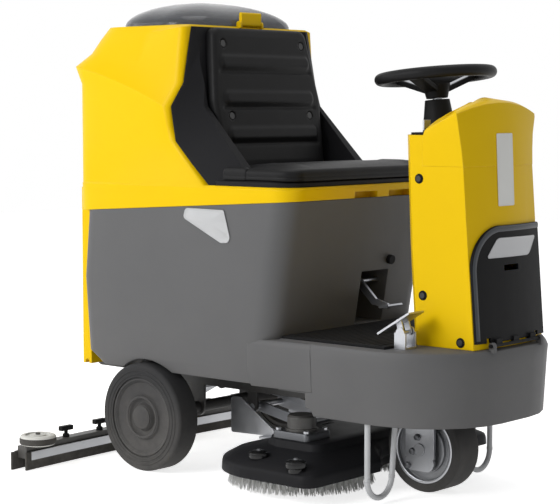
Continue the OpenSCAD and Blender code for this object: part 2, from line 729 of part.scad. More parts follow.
module lid_latch() color(yellow) at_axle() {
    rod_y(latch_x, latch_z, lid_hinge_r, -latch_half - 7, latch_half + 7);
    plate_y(-latch_half, latch_half) {
        translate([latch_x, latch_z]) circle(6);
        translate([latch_x - 4, latch_z]) square([10, 26]);
        translate([latch_x + 1, latch_z + 26]) circle(5);
    }
}

// Seat shell: each row has its height, rear edge, rear half width, front edge and front half width
function wing_x(z) = 148 + (wing_top - z) * 0.96;
shell_rows = [
    [seat_z - shell_t, 226, body_half - 3, 330, 256],
    [800, 168, body_half - 1, wing_x(800), 244],
    [853, 115, body_half - 1, wing_x(853), 240],
    [wing_top, 94, body_half - 6, 150, 232],
    [1000, 107.5, 262, 138, 216],
    [pad_top + 2, 105, 230, 119, 184]];
function shell_ring(r) = [[r[3], -r[4], r[0]], [r[3], r[4], r[0]], [r[1], r[2], r[0]], [r[1], -r[2], r[0]]];
module seat_shell() color([0.22, 0.22, 0.23]) at_axle() {
    difference() {
        union() {
            loft([for (r = shell_rows) shell_ring(r)]);
            loft([level(plan(238, tank_front - 3, body_half - 4, 20, 60), seat_z - shell_t),
                level(plan(238, tank_front - 1, body_half - 2, 20, 60), seat_z - 4),
                level(plan(238, tank_front - 6, body_half - 8, 20, 58), seat_z)]);
        }
        plate_y(-bucket_half, bucket_half)
            polygon([[pad_x(1200), 1200], [pad_x(seat_z), seat_z], [600, seat_z], [600, 1200]]);
        loft([for (row = tower_rows) tower_ring(row, -lay_gap)]);
    }
    plate_y(-bucket_half, bucket_half) polygon([
        [pad_x(recess_top - lay_gap), recess_top - lay_gap], [pad_x(seat_z), seat_z], [242, seat_z],
        [242, seat_z - shell_t], [pad_x(seat_z - shell_t) - shell_t + lay_gap, seat_z - shell_t],
        [pad_x(recess_top) - shell_t + lay_gap, recess_top - lay_gap]]);
}

// Cushion with a crowned top, wide in front of the wings and narrow between them
function cushion_rings(back, front, half, r) = [
    level(plan(back + 5, front - 5, half - 5, r, r), seat_z + lay_gap),
    level(plan(back, front, half, r, r), seat_z + 9),
    level(plan(back, front, half, r, r), seat_z + cushion_t - 10),
    level(plan(back + 5, front - 5, half - 6, r, r), seat_z + cushion_t - 3),
    level(plan(back + 18, front - 18, half - 20, r - 8, r - 8), seat_z + cushion_t + 2),
    level(plan(back + 45, front - 45, half - 70, r - 20, r - 20), seat_z + cushion_t + cushion_crown * 0.7),
    level(plan(back + 68, front - 68, half - 130, r - 34, r - 34), seat_z + cushion_t + cushion_crown)];
module seat_cushion() color(black) at_axle() {
    loft(cushion_rings(wing_x(seat_z) + 8, tank_front + 4, 268, 48));
    loft(cushion_rings(pad_x(seat_z) + backrest_t + 10, 420, bucket_half - 5, 44));
}

// Backrest pad: rings run up its height, drawn in at each cross channel
channel_rows = [843, 935, 1027];
pad_pitch = 92;
channel_half_w = 7;
function near_channel(z) = min([for (c = concat([pad_low - 8, pad_top + 8], channel_rows)) abs(z - c)]);
function pad_depth(z) = let (d = near_channel(z)) backrest_t + 3 * sin(180 * min(d, pad_pitch / 2) / pad_pitch)
    - (d < channel_half_w ? channel_depth * (1 - d / channel_half_w) : 0);
function pad_half(z) = lookup(z, [[pad_low, 196], [wing_top - 20, 211], [wing_top + 20, 209], [pad_top, 182]])
    - (near_channel(z) < 2 ? 4 : 0);
pad_levels = concat(
    [for (k = [0 : 3]) each [for (d = [0, 7, 22, 46, 70]) pad_low - 21 + pad_pitch * k + d]],
    [pad_low - 21 + pad_pitch * 4, pad_top]);
function pad_ring(z, half, depth, edge) = let (x = pad_x(z) + lay_gap) [
    [x + depth - 8, -half, z], [x + depth, -half + edge, z], [x + depth + 3, -half / 2, z],
    [x + depth + 4, 0, z],
    [x + depth + 3, half / 2, z], [x + depth, half - edge, z], [x + depth - 8, half, z],
    [x + 4, half, z], [x, half - 6, z], [x, 0, z], [x, 6 - half, z], [x + 4, -half, z]];
module backrest_pad() color(black) at_axle() difference() {
    loft([for (z = [for (v = pad_levels) if (v >= pad_low && v <= pad_top) v])
        pad_ring(z, pad_half(z) - (z > pad_top - 4 ? 8 : 0), pad_depth(z) - (z > pad_top - 4 ? 8 : 0), 16)]);
    for (z = bolt_rows, s = [-1, 1]) bolt_place(z, s) translate([0, 0, backrest_t - 6])
        cylinder(r = bolt_head_r + lay_gap, h = 40);
}
module bolt_place(z, s) translate([pad_x(z) + lay_gap, s * bolt_y, z])
    rotate([0, 90 - backrest_lean, 0]) children();
module backrest_bolts() color(steel) at_axle() for (z = bolt_rows, s = [-1, 1])
    bolt_place(z, s) translate([0, 0, backrest_t - 6]) cylinder(r = bolt_head_r, h = 6);

// Steering wheel, its stub and the upright shaft below the ball joint
module rim_torus(r) along_tilt() translate([0, 0, stub_l]) rotate_extrude() translate([rim_r, 0]) circle(r);
module steering_rim() color(black) at_axle() rim_torus(rim_t / 2);
spoke_slope = atan2(hub_drop, rim_r - hub_r);
module on_spoke(a) along_tilt() translate([0, 0, stub_l - hub_drop]) rotate(a) translate([hub_r - 6, 0, 0])
    rotate([0, -spoke_slope, 0]) children();
spoke_l = norm([hub_drop, rim_r - hub_r]) - 2;
module steering_spokes() color(black) at_axle() difference() {
    union() {
        along_tilt() translate([0, 0, stub_l - hub_drop - 20])
            cylinder(r1 = hub_r - 4, r2 = hub_r + 4, h = 34);
        for (a = spoke_angles) on_spoke(a) block([0, -spoke_w / 2, -6], [spoke_l, spoke_w / 2, 6]);
    }
    rim_torus(rim_t / 2 + fit_gap);
    along_tilt() cylinder(r = shaft_r + fit_gap, h = stub_l - hub_drop + 2);
    for (a = spoke_angles) on_spoke(a) block([16, 6 - spoke_w / 2, 4], [spoke_l - 16, spoke_w / 2 - 6, 9]);
}
module spoke_inserts() color(steel) at_axle() for (a = spoke_angles) on_spoke(a)
    block([16.5, 6.5 - spoke_w / 2, 4], [spoke_l - 16.5, spoke_w / 2 - 6.5, 7]);
module steering_stub() color(steel) at_axle() along_tilt() {
    difference() {
        translate([0, 0, -8]) cylinder(r = socket_r, h = 34);
        sphere(ball_r + lay_gap);
        translate([0, 0, -9]) cylinder(r = ball_r + lay_gap, h = 9);
    }
    translate([0, 0, 25]) cylinder(r = shaft_r, h = stub_l - hub_drop - 24);
}
module steering_shaft() color(steel) at_axle() translate([kingpin_x, 0, 0]) {
    translate([0, 0, head_z + plate_t]) cylinder(r = shaft_r, h = joint_z - head_z - plate_t - ball_r + 4);
    translate([0, 0, joint_z]) sphere(ball_r);
}

// Steered fork with the drive wheel, turned by a motor in the wheel's hub
motor_axle_r = 16;
module drive_fork() color(steel) at_axle() {
    translate([kingpin_x, 0, crown_z + plate_t - 1]) cylinder(r = kingpin_r, h = head_z - crown_z + 1);
    translate([kingpin_x, 0, crown_z + plate_t - 1]) cylinder(r = kingpin_r + 6, h = 13);
    block([wheelbase - 44, -fork_y - fork_t, crown_z], [kingpin_x + 36, fork_y + fork_t, crown_z + plate_t]);
    both_sides() plate_y(fork_y, fork_y + fork_t) difference() {
        union() {
            translate([wheelbase - 42, drive_r - 20]) square([84, crown_z - drive_r + 21]);
            translate([wheelbase - 22, drive_r - 52]) square([44, 40]);
            for (s = [-1, 1]) translate([wheelbase + s * 22, drive_r - 32]) circle(20);
        }
        translate([wheelbase, drive_r]) circle(motor_axle_r + fit_gap);
    }
}
module drive_motor() color([0.3, 0.3, 0.32]) at_axle() {
    rod_y(wheelbase, drive_r, motor_axle_r, -fork_y - fork_t - 3, fork_y + fork_t + 3);
    rod_y(wheelbase, drive_r, drive_r * 0.5, 8 - drive_wheel_w / 2, drive_wheel_w / 2 - 8);
}
rim_share = 0.8;
module on_drive_axle() translate([wheelbase, 0, drive_r]) rotate([90, 0, 0]) children();
module drive_rim() color(steel) at_axle() on_drive_axle() rotate_extrude() difference() {
    translate([drive_r * 0.5 + fit_gap, -drive_wheel_w / 2 + 4])
        square([drive_r * (rim_share - 0.5) - fit_gap, drive_wheel_w - 8]);
    for (s = [-1, 1])
        translate([drive_r * 0.56, s * (drive_wheel_w / 2 - 4) - 10]) square([drive_r * 0.17, 20]);
}
module drive_tyre() color(rubber) at_axle() on_drive_axle() rotate_extrude()
    tyre_profile(drive_r * rim_share + 0.05, drive_r, drive_wheel_w, 7);
// Tyre section with rounded shoulders
module tyre_profile(inner, outer, w, r) {
    translate([inner, -w / 2]) square([outer - inner - r, w]);
    translate([inner, r - w / 2]) square([outer - inner, w - 2 * r]);
    for (s = [-1, 1]) translate([outer - r, s * (w / 2 - r)]) circle(r);
}

// Rear wheels: a dished plastic hub in a solid tyre
hub_share = 0.74;
module wheel_place(s) translate([0, s * (rear_track - rear_wheel_w) / 2, rear_r])
    rotate([-90 * s, 0, 0]) children();
module rear_tyre(s) color(rubber) at_axle() wheel_place(s) rotate_extrude()
    tyre_profile(rear_r * hub_share + 0.05, rear_r, rear_wheel_w, 9);
module rear_hub(s) color([0.27, 0.27, 0.28]) at_axle() wheel_place(s) rotate_extrude() difference() {
    half = rear_wheel_w / 2;
    translate([axle_r + fit_gap, 4 - half]) square([rear_r * hub_share - axle_r - fit_gap, rear_wheel_w - 8]);
    polygon([[axle_r + 16, half - 3], [axle_r + 22, half - 14], [rear_r * hub_share - 14, half - 9],
        [rear_r * hub_share - 9, half - 3]]);
    polygon([[axle_r + 16, 3 - half], [axle_r + 22, 20 - half], [rear_r * hub_share - 16, 20 - half],
        [rear_r * hub_share - 10, 3 - half]]);
}
module rear_tyre_left() rear_tyre(1);
module rear_tyre_right() rear_tyre(-1);
module rear_hub_left() rear_hub(1);
module rear_hub_right() rear_hub(-1);

// Brush deck on two arms and a levelling link that keep it parallel to the floor
arm_b = [arm_ax + arm_dx, arm_az + arm_dz];
module lift_arms() color(steel) at_axle() {
    both_sides() plate_y(arm_y, arm_y + 8) link_shape([arm_ax, arm_az], arm_b, 13);
    rod_y(arm_ax, arm_az, arm_pin_r, -rail_y + 8, rail_y - 8);
    rod_y(arm_b[0], arm_b[1], arm_pin_r, -arm_y - 8, arm_y + 8);
}
module level_link() color(steel) at_axle() {
    plate_y(-5, 5) link_shape([arm_ax, arm_az + link_rise], arm_b + [0, link_rise], 9);
    rod_y(arm_ax, arm_az + link_rise, link_pin_r, -13, 13);
    rod_y(arm_b[0], arm_b[1] + link_rise, link_pin_r, -13, 13);
}
knob_angles = [150, 75];
module brush_deck() color([0.18, 0.18, 0.19]) at_axle() {
    difference() {
        union() {
            both_sides() translate([brush_x, brush_y, deck_z - deck_skirt])
                cylinder(r = deck_r, h = deck_skirt + deck_t);
            both_sides() translate([brush_x, brush_y, deck_z]) cylinder(r = deck_r - 25, h = deck_t + 12);
            block([arm_b[0] - 22, -brush_y, deck_z], [brush_x + 90, brush_y, deck_z + deck_t]);
        }
        both_sides() translate([brush_x, brush_y, deck_z - deck_skirt - 1])
            cylinder(r = deck_r - 6, h = deck_skirt + 1);
        both_sides() translate([brush_x, brush_y, deck_z - 1]) cylinder(r = deck_r - 31, h = 13);
        both_sides() translate([brush_x, brush_y, 0]) cylinder(r = spindle_r + 2, h = 200);
    }
    both_sides() plate_y(ear_y, ear_y + 8) difference() {
        union() {
            translate(arm_b) circle(arm_pin_r + 8);
            translate([arm_b[0] - 16, deck_z + deck_t - 1]) square([32, arm_b[1] - deck_z - deck_t + 1]);
        }
        translate(arm_b) circle(arm_pin_r + fit_gap);
    }
    both_sides() plate_y(7, 13) difference() {
        union() {
            translate(arm_b + [0, link_rise]) circle(link_pin_r + 8);
            translate([arm_b[0] - 13, deck_z + deck_t - 1])
                square([26, arm_b[1] + link_rise - deck_z - deck_t]);
        }
        translate(arm_b + [0, link_rise]) circle(link_pin_r + lay_gap);
        translate(arm_b) circle(arm_pin_r + 2);
    }
    both_sides() for (a = knob_angles) translate([brush_x, brush_y, deck_z + deck_t - 1]) rotate(a)
        translate([deck_r - 13, 0, 0]) cylinder(r = 9, h = 16);
}
module brush_motors() color([0.62, 0.63, 0.65]) at_axle() both_sides() translate([brush_x, brush_y, 0]) {
    translate([0, 0, deck_z + deck_t + 12]) cylinder(r = motor_r, h = motor_h);
    translate([0, 0, deck_z + deck_t + 12]) cylinder(r = motor_r + 8, h = 10);
    translate([0, 0, deck_z + deck_t + 11 + motor_h]) cylinder(r = motor_r - 14, h = 10);
    translate([0, 0, brush_z + 1]) cylinder(r = spindle_r, h = deck_z + deck_t + 13 - brush_z);
}

// Disc brush: tufts of four-sided strands stand on rows under a moulded back
module disc_brush(s) at_axle() translate([brush_x, s * brush_y, 0]) {
    color(white) translate([0, 0, brush_lift]) linear_extrude(bristle_l + 1) for (row = [0 : tuft_rows - 1]) {
        r = brush_d / 2 - 9 - row * 19;
        count = round(tufts_outer * r / (brush_d / 2 - 9));
        for (k = [0 : count - 1]) rotate(360 * (k + row / 2) / count) translate([r, 0]) circle(6.2, $fn = 4);
    }
    color(black) translate([0, 0, brush_z]) difference() {
        union() {
            cylinder(r = brush_d / 2 - 2, h = brush_back_t);
            cylinder(r = 34, h = brush_back_t + 6);
        }
        translate([0, 0, -1]) cylinder(r = spindle_r + fit_gap, h = 40);
    }
}
module brush_left() disc_brush(1);
module brush_right() disc_brush(-1);

// Squeegee: bowed channel, two rubber blades, clamp strips and guide rollers
module bowed(off0, off1, z0, z1, half) {
    sweep = asin(half / squeegee_bow);
    translate([bow_x, 0, 0]) rotate(180 - sweep) rotate_extrude(angle = 2 * sweep, $fn = 720)
        translate([squeegee_bow + off0, z0]) square([off1 - off0, z1 - z0]);
}
module squeegee_arm() color(steel) at_axle() {
    both_sides() plate_y(ear_y, ear_y + 8) link_shape([lift_x, lift_z], [swing_x + 10, arm_block_z + 9], 9);
    rod_y(lift_x, lift_z, arm_pin_r, -rail_y + 8, rail_y - 8);
    block([swing_x - 18, -ear_y - 8, arm_block_z], [swing_x + 18, ear_y + 8, arm_block_z + 18]);
    translate([swing_x, 0, plate_z - 7]) cylinder(r = swing_r, h = arm_block_z - plate_z + 8);
    translate([swing_x, 0, plate_z - 12]) cylinder(r = swing_r + 6, h = 6);
}
spout_r = 20;
spout_tilt = 40;
spout_l = 62;
spout_free = 40;
elbow_r = spout_r + 1;
elbow_z = plate_z + 12;
module squeegee_body() color(black) at_axle() {
    half = blade_half - 20;
    difference() {
        union() {
            bowed(-channel_half, channel_half, channel_z, plate_z, half);
            block([bow_at(0) + 2, -60, plate_z - 3], [swing_x + 24, 60, plate_z + 3]);
            translate([swing_x, 0, plate_z - 5]) cylinder(r = 20, h = arm_block_z - plate_z + 5 - lay_gap);
            spout() cylinder(r = spout_r, h = spout_l);
            spout() translate([0, 0, spout_l - spout_free - 6]) cylinder(r = spout_r + 4, h = 6);
            spout() sphere(elbow_r);
        }
        bowed(-channel_half + 5, channel_half - 5, channel_z - 1, plate_z - 5, half - 5);
        translate([swing_x, 0, 0]) cylinder(r = swing_r + fit_gap, h = 200);
        spout() cylinder(r = spout_r - 4, h = 100);
        spout() sphere(spout_r - 4);
        translate([bow_at(0), 0, channel_z + 1]) cylinder(r = channel_half - 6, h = elbow_z - channel_z);
    }
    both_sides() {
        block([bow_at(roller_y) - 8, roller_y - 40, plate_z - 1],
            [bow_at(roller_y) + 52, roller_y + 16, plate_z + 5]);
        translate([roller_x, roller_y, plate_z + 4]) cylinder(r = roller_bore_r, h = roller_h + 6);
    }
}
module spout() translate([bow_at(0), 0, elbow_z]) rotate([0, -spout_tilt, 0]) children();
roller_x = bow_at(roller_y) + 34;
module squeegee_blades() color(rubber) at_axle() {
    near = channel_half + lay_gap;
    bowed(near, near + blade_t, blade_lift, blade_lift + blade_h, blade_half);
    bowed(-near - blade_t, -near, blade_lift, blade_lift + blade_h, blade_half - 14);
}
module blade_clamps() color(steel) at_axle() {
    near = channel_half + blade_t + 2 * lay_gap;
    bowed(near, near + 3, 26, 48, blade_half - 16);
    bowed(-near - 3, -near, 26, 48, blade_half - 30);
}
module squeegee_knobs() color(black) at_axle() both_sides() for (y = knob_rows)
    translate([bow_at(y), y, plate_z]) {
    cylinder(r = 9, h = 8);
    cylinder(r = 5, h = 20);
    block([-7, -20, 18], [7, 20, 30]);
}
module roller(s) color(white) at_axle() translate([roller_x, s * roller_y, plate_z + 5 + lay_gap])
    rotate_extrude() difference() {
    tyre_profile_up(roller_d / 2, roller_h, 7);
    square([roller_bore_r + fit_gap, roller_h * 3]);
    translate([20, roller_h - 4]) square([roller_d / 2 - 34, 10]);
}
module tyre_profile_up(outer, h, r) {
    square([outer - r, h]);
    translate([0, r]) square([outer, h - 2 * r]);
    for (z = [r, h - r]) translate([outer - r, z]) circle(r);
}
module roller_left() roller(1);
module roller_right() roller(-1);

// Controls on the dash
module control(k) at_axle() translate([control_places[k][0], control_places[k][1], dash_h]) children();
module ignition_key() color(steel) control(0) {
    translate([0, 0, -8]) cylinder(r = 6, h = dash_t + 14);
    block([-2, -13, dash_t + 5], [2, 13, dash_t + 30]);
}
module drive_selector() color(black) control(1) {
    translate([0, 0, -8]) cylinder(r = 6, h = dash_t + 12);
    translate([0, 0, dash_t + 1]) cylinder(r = 13, h = 9);
    block([-3, -13, dash_t + 9], [3, 13, dash_t + 18]);
}
module horn_button() color([0.1, 0.35, 0.15]) control(2) {
    translate([0, 0, -8]) cylinder(r = 6, h = dash_t + 13);
    translate([0, 0, dash_t + 4]) cylinder(r = 10, h = 5);
}

chassis_frame();
rear_axle();
head_plate();
head_bearings();
solution_tank();
batteries();
vacuum_motor();
platform();
floor_mat();
column_cover();
dash_panel();
motor_controller();
anti_tip_bars();
pedal_bracket();
column_screws();
tank_hinge_pin();
rubber_stop();
recovery_tank();
seat_shell();
seat_cushion();
backrest_pad();
backrest_bolts();
lid_gasket();
float_standpipe();
suction_inlet();
dome_lid();
lid_latch();
front_hatch();
steering_rim();
steering_spokes();
spoke_inserts();
steering_stub();
drive_fork();
steering_shaft();
drive_motor();
drive_tyre();
drive_rim();
rear_tyre_left();
rear_hub_left();
rear_tyre_right();
rear_hub_right();
accelerator_pedal();
lift_lever();
lift_arms();
level_link();
brush_deck();
brush_motors();
brush_left();
brush_right();
squeegee_arm();
squeegee_body();
squeegee_blades();
blade_clamps();
squeegee_knobs();
roller_left();
roller_right();
ignition_key();
drive_selector();
horn_button();
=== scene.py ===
# %% [markdown]
# # A ride-on floor scrubber in the studio
# The machine comes from a CAD program as a set of solids in metres, with +X forward, +Y to the
# driver's left and Z up. This lesson gives those solids their finishes, puts fuller forms in the
# place of the soft and the moulded ones, and adds the thin trim that a CAD model leaves out.

# %% Load the frame
import math

import bpy
import numpy as np
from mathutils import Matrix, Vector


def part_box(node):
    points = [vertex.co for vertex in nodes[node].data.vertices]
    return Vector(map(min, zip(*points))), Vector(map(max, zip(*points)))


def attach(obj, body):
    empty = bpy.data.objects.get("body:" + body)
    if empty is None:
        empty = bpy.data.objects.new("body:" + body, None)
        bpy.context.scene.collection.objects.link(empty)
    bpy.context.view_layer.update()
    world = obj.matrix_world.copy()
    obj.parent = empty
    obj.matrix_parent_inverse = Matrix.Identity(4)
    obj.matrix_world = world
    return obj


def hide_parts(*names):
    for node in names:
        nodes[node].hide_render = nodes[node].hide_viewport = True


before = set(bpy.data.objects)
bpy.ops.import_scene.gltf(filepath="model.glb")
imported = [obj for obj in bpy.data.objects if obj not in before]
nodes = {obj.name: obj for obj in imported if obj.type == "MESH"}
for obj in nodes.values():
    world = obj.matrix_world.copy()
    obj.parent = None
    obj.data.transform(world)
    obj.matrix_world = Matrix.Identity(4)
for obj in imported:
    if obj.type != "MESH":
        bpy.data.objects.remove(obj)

SIDES = (("left", 1), ("right", -1))
scene = bpy.context.scene
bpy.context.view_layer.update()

# %% [markdown]
# ## Camera
# The view was worked out from the picture: a pinhole camera in front of the machine's right side, a
# little above the seat, that looks almost level. A long lens keeps the lines nearly parallel.

# %% Camera
IMAGE_WIDTH = 560  # pixels
FOCAL_LENGTH = 1740.48  # pixels
SENSOR_WIDTH = 36.0  # mm
CAMERA_PLACE = (2.850, -3.452, 0.937)  # metres
CAMERA_TILT, CAMERA_TURN = 85.2532, 40.5834  # degrees

camera_data = bpy.data.cameras.new("studio_camera")
camera_data.sensor_fit = "HORIZONTAL"
camera_data.sensor_width = SENSOR_WIDTH
camera_data.lens = FOCAL_LENGTH * SENSOR_WIDTH / IMAGE_WIDTH
camera = bpy.data.objects.new("studio_camera", camera_data)
camera.location = CAMERA_PLACE
camera.rotation_euler = (math.radians(CAMERA_TILT), 0.0, math.radians(CAMERA_TURN))
scene.collection.objects.link(camera)
scene.camera = camera
print("lens", round(camera_data.lens, 1), "mm")

# %% [markdown]
# ## Node helpers
# Materials, the world and the smooth shading are node trees. One function fills a node's inputs,
# one adds a node, and two add the Math and Map Range nodes that come up most.

# %% Node helpers
WHITE = (1.0, 1.0, 1.0, 1.0)


def fill(tree, node, **values):
    """Inputs by name, or by number as in0 and in1: a socket is linked, anything else is set."""
    for key, value in values.items():
        socket = node.inputs[int(key[2:]) if key.startswith("in") else key.replace("_", " ")]
        if isinstance(value, bpy.types.NodeSocket):
            tree.links.new(value, socket)
        else:
            socket.default_value = value


def put(tree, kind, settings=None, **values):
    """A new node: its settings, such as an operation, come first, and its inputs follow."""
    node = tree.nodes.new(kind)
    for key, value in (settings or {}).items():
        setattr(node, key, value)
    fill(tree, node, **values)
    return node


def combine(tree, operation, first, second):
    """The result of a Math node: the maximum, product and so on of two values."""
    return put(tree, "ShaderNodeMath", {"operation": operation}, in0=first, in1=second).outputs[0]


def mapped(tree, value, start=(0.0, 1.0), end=(0.0, 1.0)):
    """A value moved from the range start to the range end, and held inside it."""
    return put(tree, "ShaderNodeMapRange", Value=value, From_Min=start[0], From_Max=start[1],
               To_Min=end[0], To_Max=end[1]).outputs[0]


def node_material(name):
    """A new material, its node tree and the Principled shader in it."""
    material = bpy.data.materials.new(name)
    material.use_nodes = True
    return material, material.node_tree, material.node_tree.nodes["Principled BSDF"]


print("node helpers ready")

# %% [markdown]
# ## Studio
# A catalogue picture has white surroundings. A white world would light the machine from all sides
# and flatten its form, so Light Path shows world and floor white to the camera, to mirrors and
# through the lid, and lets them light the object at a lower level.

# %% White surroundings
WORLD_LIGHT = 0.30


def seen_white(tree, level, seen=1.0):
    """A strength: seen for rays from the camera, mirrors and glass, level for the light itself."""
    ray = tree.nodes.new("ShaderNodeLightPath").outputs
    direct = combine(tree, "MAXIMUM", ray["Is Camera Ray"], ray["Is Glossy Ray"])
    any_view = combine(tree, "MAXIMUM", direct, ray["Is Transmission Ray"])
    return mapped(tree, any_view, end=(level, seen))


scene.view_settings.view_transform = "Standard"
scene.world = bpy.data.worlds.new("white_studio")
scene.world.use_nodes = True
world_tree = scene.world.node_tree
fill(world_tree, world_tree.nodes["Background"], Color=WHITE,
     Strength=seen_white(world_tree, WORLD_LIGHT))
print("world light:", WORLD_LIGHT)

# %% [markdown]
# Three area lamps give the form: a strong one from the machine's right, a weak one from behind and
# one from above. They are large, so that the shadows are soft. A Track To constraint could aim them,
# but lamps that never move need only two angles.

# %% Lamps
LAMPS = (  # name, place, target, size in metres, power in watts
    ("key_lamp", (-0.9, -4.2, 2.6), (0.0, 0.0, 0.55), 2.2, 118.0),
    ("side_lamp", (-3.4, -2.0, 1.8), (-0.1, 0.0, 0.6), 1.8, 26.0),
    ("top_lamp", (0.2, 0.3, 4.2), (0.0, 0.0, 0.4), 2.4, 36.0),
)


def soft_lamp(name, place, target, size, watts):
    """A square area lamp at place that faces target: tilt = atan2(flat distance, drop)."""
    data = bpy.data.lights.new(name, "AREA")
    data.shape = "SQUARE"
    data.size = size
    data.energy = watts
    lamp = bpy.data.objects.new(name, data)
    lamp.location = place
    aim = np.array(target) - np.array(place)
    tilt = math.atan2(math.hypot(aim[0], aim[1]), -aim[2])
    lamp.rotation_euler = (tilt, 0.0, math.atan2(aim[1], aim[0]) - math.pi / 2)
    scene.collection.objects.link(lamp)


for lamp_values in LAMPS:
    soft_lamp(*lamp_values)
print("lamps:", len(bpy.data.lights))

# %% [markdown]
# ## Grids
# Nearly every shape here is a grid of points: rings that follow one another, or a strip. Numpy works
# out all points at once, and one function joins neighbours to quads and makes the mesh, which is
# quicker and easier to repeat than pulling points about by hand.

# %% Grid mesh
def smooth_mesh(name, points, faces):
    """A mesh of points and faces, shaded smooth."""
    mesh = bpy.data.meshes.new(name)
    mesh.from_pydata(points.tolist(), [], faces)
    mesh.polygons.foreach_set("use_smooth", np.ones(len(mesh.polygons), dtype=bool))
    mesh.update()
    return mesh


def grid_mesh(name, points, closed_u=False, closed_v=False, caps=False):
    """A mesh over points[v, u]: neighbours in u and v make quads, closed joins the last ones to the
    first, and caps close the first and the last row with a fan to their middle."""
    rows, cols = points.shape[:2]
    index = np.arange(rows * cols).reshape(rows, cols)
    across = np.concatenate([index, index[:, :1]], axis=1) if closed_u else index
    along = np.concatenate([across, across[:1]], axis=0) if closed_v else across
    corners = [along[:-1, :-1], along[:-1, 1:], along[1:, 1:], along[1:, :-1]]
    faces = np.stack(corners, axis=-1).reshape(-1, 4).tolist()
    verts = points.reshape(-1, 3)
    if caps:
        first, last = index[0], index[-1]
        verts = np.concatenate([verts, points[:1].mean(axis=1), points[-1:].mean(axis=1)])
        low = np.stack([np.roll(first, -1), first, np.full(cols, rows * cols)], axis=-1)
        top = np.stack([last, np.roll(last, -1), np.full(cols, rows * cols + 1)], axis=-1)
        faces += low.tolist() + top.tolist()
    return smooth_mesh(name, verts, faces)


print("grids ready")

# %% [markdown]
# ## Floor
# The floor takes the shadow and fades to the same white. It is wide enough to fill every view, and
# it lies half a millimetre under the wheels, so that no two faces share a plane.

# %% Floor
FLOOR_HALF, FLOOR_DROP = 9.0, 0.0005  # metres
FLOOR_LIGHT, FLOOR_SEEN = 0.12, 0.74  # emission for the light, and as it is seen
FLOOR_GREY = (0.93, 0.93, 0.93, 1.0)

reach = np.linspace(-FLOOR_HALF, FLOOR_HALF, 3)
floor_grid = np.stack(np.broadcast_arrays(reach[None, :], reach[:, None], -FLOOR_DROP), axis=-1)
floor = bpy.data.objects.new("studio_floor", grid_mesh("studio_floor", floor_grid))
scene.collection.objects.link(floor)
floor_paint, floor_tree, floor_shader = node_material("studio_floor")
fill(floor_tree, floor_shader, Base_Color=FLOOR_GREY, Roughness=0.55,
     Emission_Color=WHITE, Emission_Strength=seen_white(floor_tree, FLOOR_LIGHT, FLOOR_SEEN))
floor.data.materials.append(floor_paint)
print("floor:", 2 * FLOOR_HALF, "m wide")

# %% [markdown]
# ## Smooth shading for the solids
# The CAD meshes are loose triangles. A small geometry node tree welds them for the display and
# marks only the edges that turn more than 32 degrees as sharp, so rounded corners look round and
# real edges stay crisp. The solids' own points stay as they are.

# %% Smooth shading
SHARP_ANGLE, WELD = 32.0, 1e-5  # degrees, metres


def smooth_tree():
    """Geometry nodes: merge by distance, shade smooth, then keep edges sharper than the angle."""
    tree = bpy.data.node_groups.new("smooth_by_angle", "GeometryNodeTree")
    for way in ("INPUT", "OUTPUT"):
        tree.interface.new_socket("Geometry", in_out=way, socket_type="NodeSocketGeometry")
    start = tree.nodes.new("NodeGroupInput")
    weld = put(tree, "GeometryNodeMergeByDistance", Geometry=start.outputs[0], Distance=WELD)
    smooth = put(tree, "GeometryNodeSetShadeSmooth", Geometry=weld.outputs[0])
    angle = tree.nodes.new("GeometryNodeInputMeshEdgeAngle").outputs["Unsigned Angle"]
    sharp = put(tree, "FunctionNodeCompare", {"operation": "GREATER_THAN"}, A=angle,
                B=math.radians(SHARP_ANGLE))
    edges = put(tree, "GeometryNodeSetShadeSmooth", {"domain": "EDGE"}, Shade_Smooth=False,
                Geometry=smooth.outputs[0], Selection=sharp.outputs[0])
    put(tree, "NodeGroupOutput", in0=edges.outputs[0])
    return tree


smoothing = smooth_tree()
for solid in nodes.values():
    solid.modifiers.new("smooth", "NODES").node_group = smoothing
print("smoothed solids:", len(nodes))

# %% [markdown]
# ## Finishes
# Three effects are shared by most finishes, so each is a shader node group: a moulded skin with a
# fine grain and slow changes of tone, edges that are rubbed bright, and dust that settles low on the
# machine. All of them read Object coordinates, which are metres in the machine's own frame.

# %% Effect helpers
FLOAT, COLOUR, VECTOR = "NodeSocketFloat", "NodeSocketColor", "NodeSocketVector"


def group(name, inputs, outputs):
    """A shader node group with inputs and outputs of some kinds, and what its inputs give."""
    tree = bpy.data.node_groups.new(name, "ShaderNodeTree")
    for way, sockets in (("INPUT", inputs), ("OUTPUT", outputs)):
        for label, kind in sockets.items():
            tree.interface.new_socket(label, in_out=way, socket_type=kind)
    return tree, tree.nodes.new("NodeGroupInput").outputs


def object_place(tree):
    """The place of a point in the machine's frame."""
    return tree.nodes.new("ShaderNodeTexCoord").outputs["Object"]


def noise(tree, place, **values):
    """Soft noise from 0 to 1 by place."""
    return put(tree, "ShaderNodeTexNoise", Vector=place, **values).outputs["Fac"]


def mix_colours(tree, share, first, second):
    """A colour between two: share 0 gives the first and 1 the second."""
    return put(tree, "ShaderNodeMix", {"data_type": "RGBA"}, in0=share, in6=first,
               in7=second).outputs[2]


print("effect helpers ready")

# %% [markdown]
# Moulded plastic isn't one flat colour: the mould leaves a fine grain, and tone and gloss drift over
# a hand's width. A picture could hold that, but it would need an unwrapped surface, so three noise
# textures of different scale do it.

